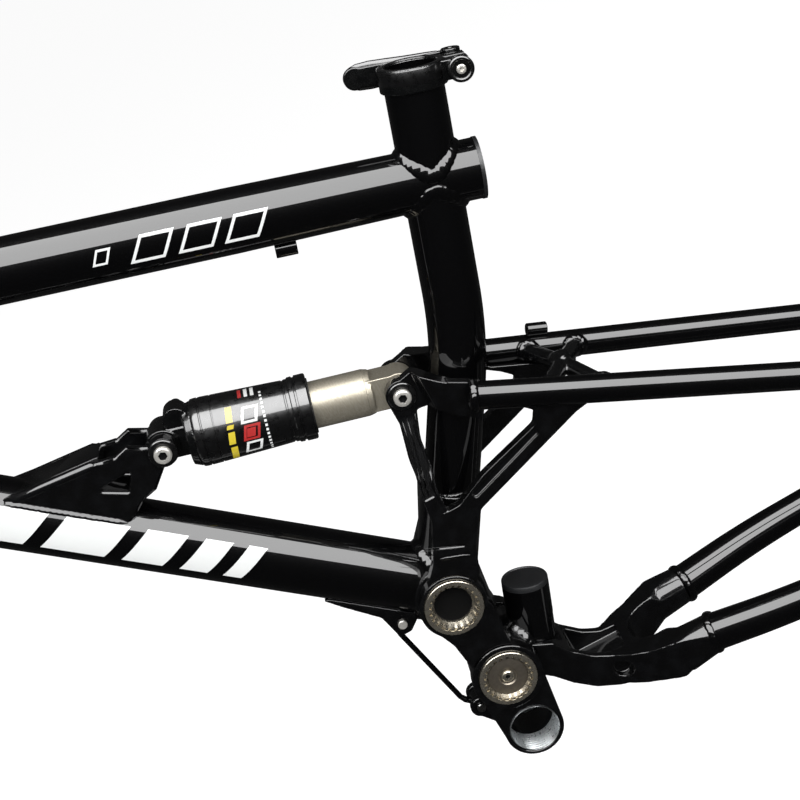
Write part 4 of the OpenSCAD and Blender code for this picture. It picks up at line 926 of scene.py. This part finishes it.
def slim_boss(p):
    """Draws the rocker's boss in to the washer's size, clear of its two arms."""
    x, z = p.x - rear_eye.x, p.z - rear_eye.z
    reach = math.hypot(x, z)
    if -2 < z and x < 5 and 9.9 < reach < 17:
        ratio = (9.9 + 0.08 * (reach - 9.9)) / reach
        x, z = x * ratio, z * ratio
    elif 5 <= x < 22 and z > 0:
        z = min(z, 9.9 + 0.25 * (x - 5))
    elif -24 < z <= -2:
        x = max(x, -10.1)
    return Vector((rear_eye.x + x, p.y, rear_eye.z + z))


for node in ("swing_forging", "strut_bracket", "bb_link", "seat_stay_brace", "dropout_left", "dropout_right",
             "pivot_forging"):
    softened(node, rounds=8)
for node in ("rocker_left", "rocker_right"):
    softened(node, voxel=0.5, rounds=6, shaped=slim_boss)
softened("chain_stay_yoke", voxel=0.6, rounds=14)
for node in ("seat_clamp", "clamp_lever", "shock_front_eye", "shock_rear_eye"):
    softened(node, voxel=0.45, rounds=4)

# ---- Studio ----


def lamp(name, spot, aim, size, power, diffuse=True, glossy=True):
    """A flat white studio lamp at spot that faces aim, in metres; power is in watts."""
    light = bpy.data.lights.new(name, "AREA")
    light.shape, light.size, light.size_y = "RECTANGLE", *size
    light.energy = power
    made = bpy.data.objects.new(name, light)
    made.matrix_world = (Matrix.Translation(spot)
                         @ (Vector(spot) - Vector(aim)).to_track_quat("Z", "Y").to_matrix().to_4x4())
    bpy.context.scene.collection.objects.link(made)
    made.visible_camera = False
    made.visible_diffuse, made.visible_glossy = diffuse, glossy
    return made


middle = Vector((0.03, 0, 0.27))
strip_way = Vector((0.92, -0.33, -0.24)).normalized()
strip_from = Vector((0.053, -0.48, 0.876)).normalized()
strip_spot = middle + strip_from * 2.5 + strip_way * 1.0
# The long softbox that draws the bright bands along the tubes
strip = lamp("long_softbox", strip_spot, middle, (6.0, 3.0), 9.5 * math.pi * 18, diffuse=False)
cross = strip_from.cross(strip_way).normalized()
strip.matrix_world = Matrix.Translation(strip_spot) @ Matrix((strip_way, cross, strip_from)).transposed().to_4x4()
for name, spot, power in (("soft_key", (-0.9, -2.2, 2.2), 60), ("soft_fill", (1.8, -1.8, 0.6), 14)):
    lamp(name, spot, middle, (1.6, 1.6), power, glossy=False)

# The room is white to the eye, half as bright on the pieces and dim in their reflections
world = bpy.data.worlds.new("pale_room")
bpy.context.scene.world = world
tree = bare_tree(world)
path = add(tree, "ShaderNodeLightPath")
seen = add(tree, "ShaderNodeMath", {"operation": "MAXIMUM"},
           {0: path.outputs["Is Camera Ray"], 1: path.outputs["Is Transmission Ray"]}).outputs[0]
level = add(tree, "ShaderNodeMath", {"operation": "MULTIPLY_ADD", 1: 0.5, 2: 0.5}, {0: seen}).outputs[0]
level = add(tree, "ShaderNodeMath", {"operation": "MULTIPLY_ADD", 1: -0.475, "use_clamp": True},
            {0: path.outputs["Is Glossy Ray"], 2: level}).outputs[0]
glow = add(tree, "ShaderNodeBackground", {"Color": linear("#ffffff")}, {"Strength": level})
add(tree, "ShaderNodeOutputWorld", {}, {"Surface": glow.outputs[0]})

# The floor is the same: bright to the eye, dim in reflections
floor_material = bpy.data.materials.new("pale_floor")
tree = bare_tree(floor_material)
path = add(tree, "ShaderNodeLightPath")
paint = add(tree, "ShaderNodeBsdfDiffuse", {"Color": linear("#e9e9e9")})
white = add(tree, "ShaderNodeEmission", {"Color": linear("#ffffff"), "Strength": 0.55})
dim = add(tree, "ShaderNodeEmission", {"Color": linear("#ffffff"), "Strength": 0.03})
lit = add(tree, "ShaderNodeAddShader", {}, {0: paint.outputs[0], 1: white.outputs[0]})
shown = add(tree, "ShaderNodeMixShader", {}, {
    0: path.outputs["Is Camera Ray"], 1: paint.outputs[0], 2: lit.outputs[0]})
final = add(tree, "ShaderNodeMixShader", {}, {
    0: path.outputs["Is Glossy Ray"], 1: shown.outputs[0], 2: dim.outputs[0]})
add(tree, "ShaderNodeOutputMaterial", {}, {"Surface": final.outputs[0]})
floor_mesh = bpy.data.meshes.new("floor")
reach, depth = 60.0, -0.35
floor_mesh.from_pydata([(x * reach, y * reach, depth) for x, y in ((-1, -1), (1, -1), (1, 1), (-1, 1))], [],
                       [(0, 1, 2, 3)])
floor_mesh.materials.append(floor_material)
floor = bpy.data.objects.new("floor", floor_mesh)
bpy.context.scene.collection.objects.link(floor)

camera = bpy.data.objects.new("camera", bpy.data.cameras.new("camera"))
camera.data.lens, camera.data.sensor_width = 72, 36
camera.location = (0.08871, -0.94992, 0.61239)
camera.rotation_euler = [math.radians(a) for a in (65.933, 27.366, -7.940)]
bpy.context.scene.collection.objects.link(camera)
bpy.context.scene.camera = camera
bpy.context.scene.view_settings.view_transform = "Standard"
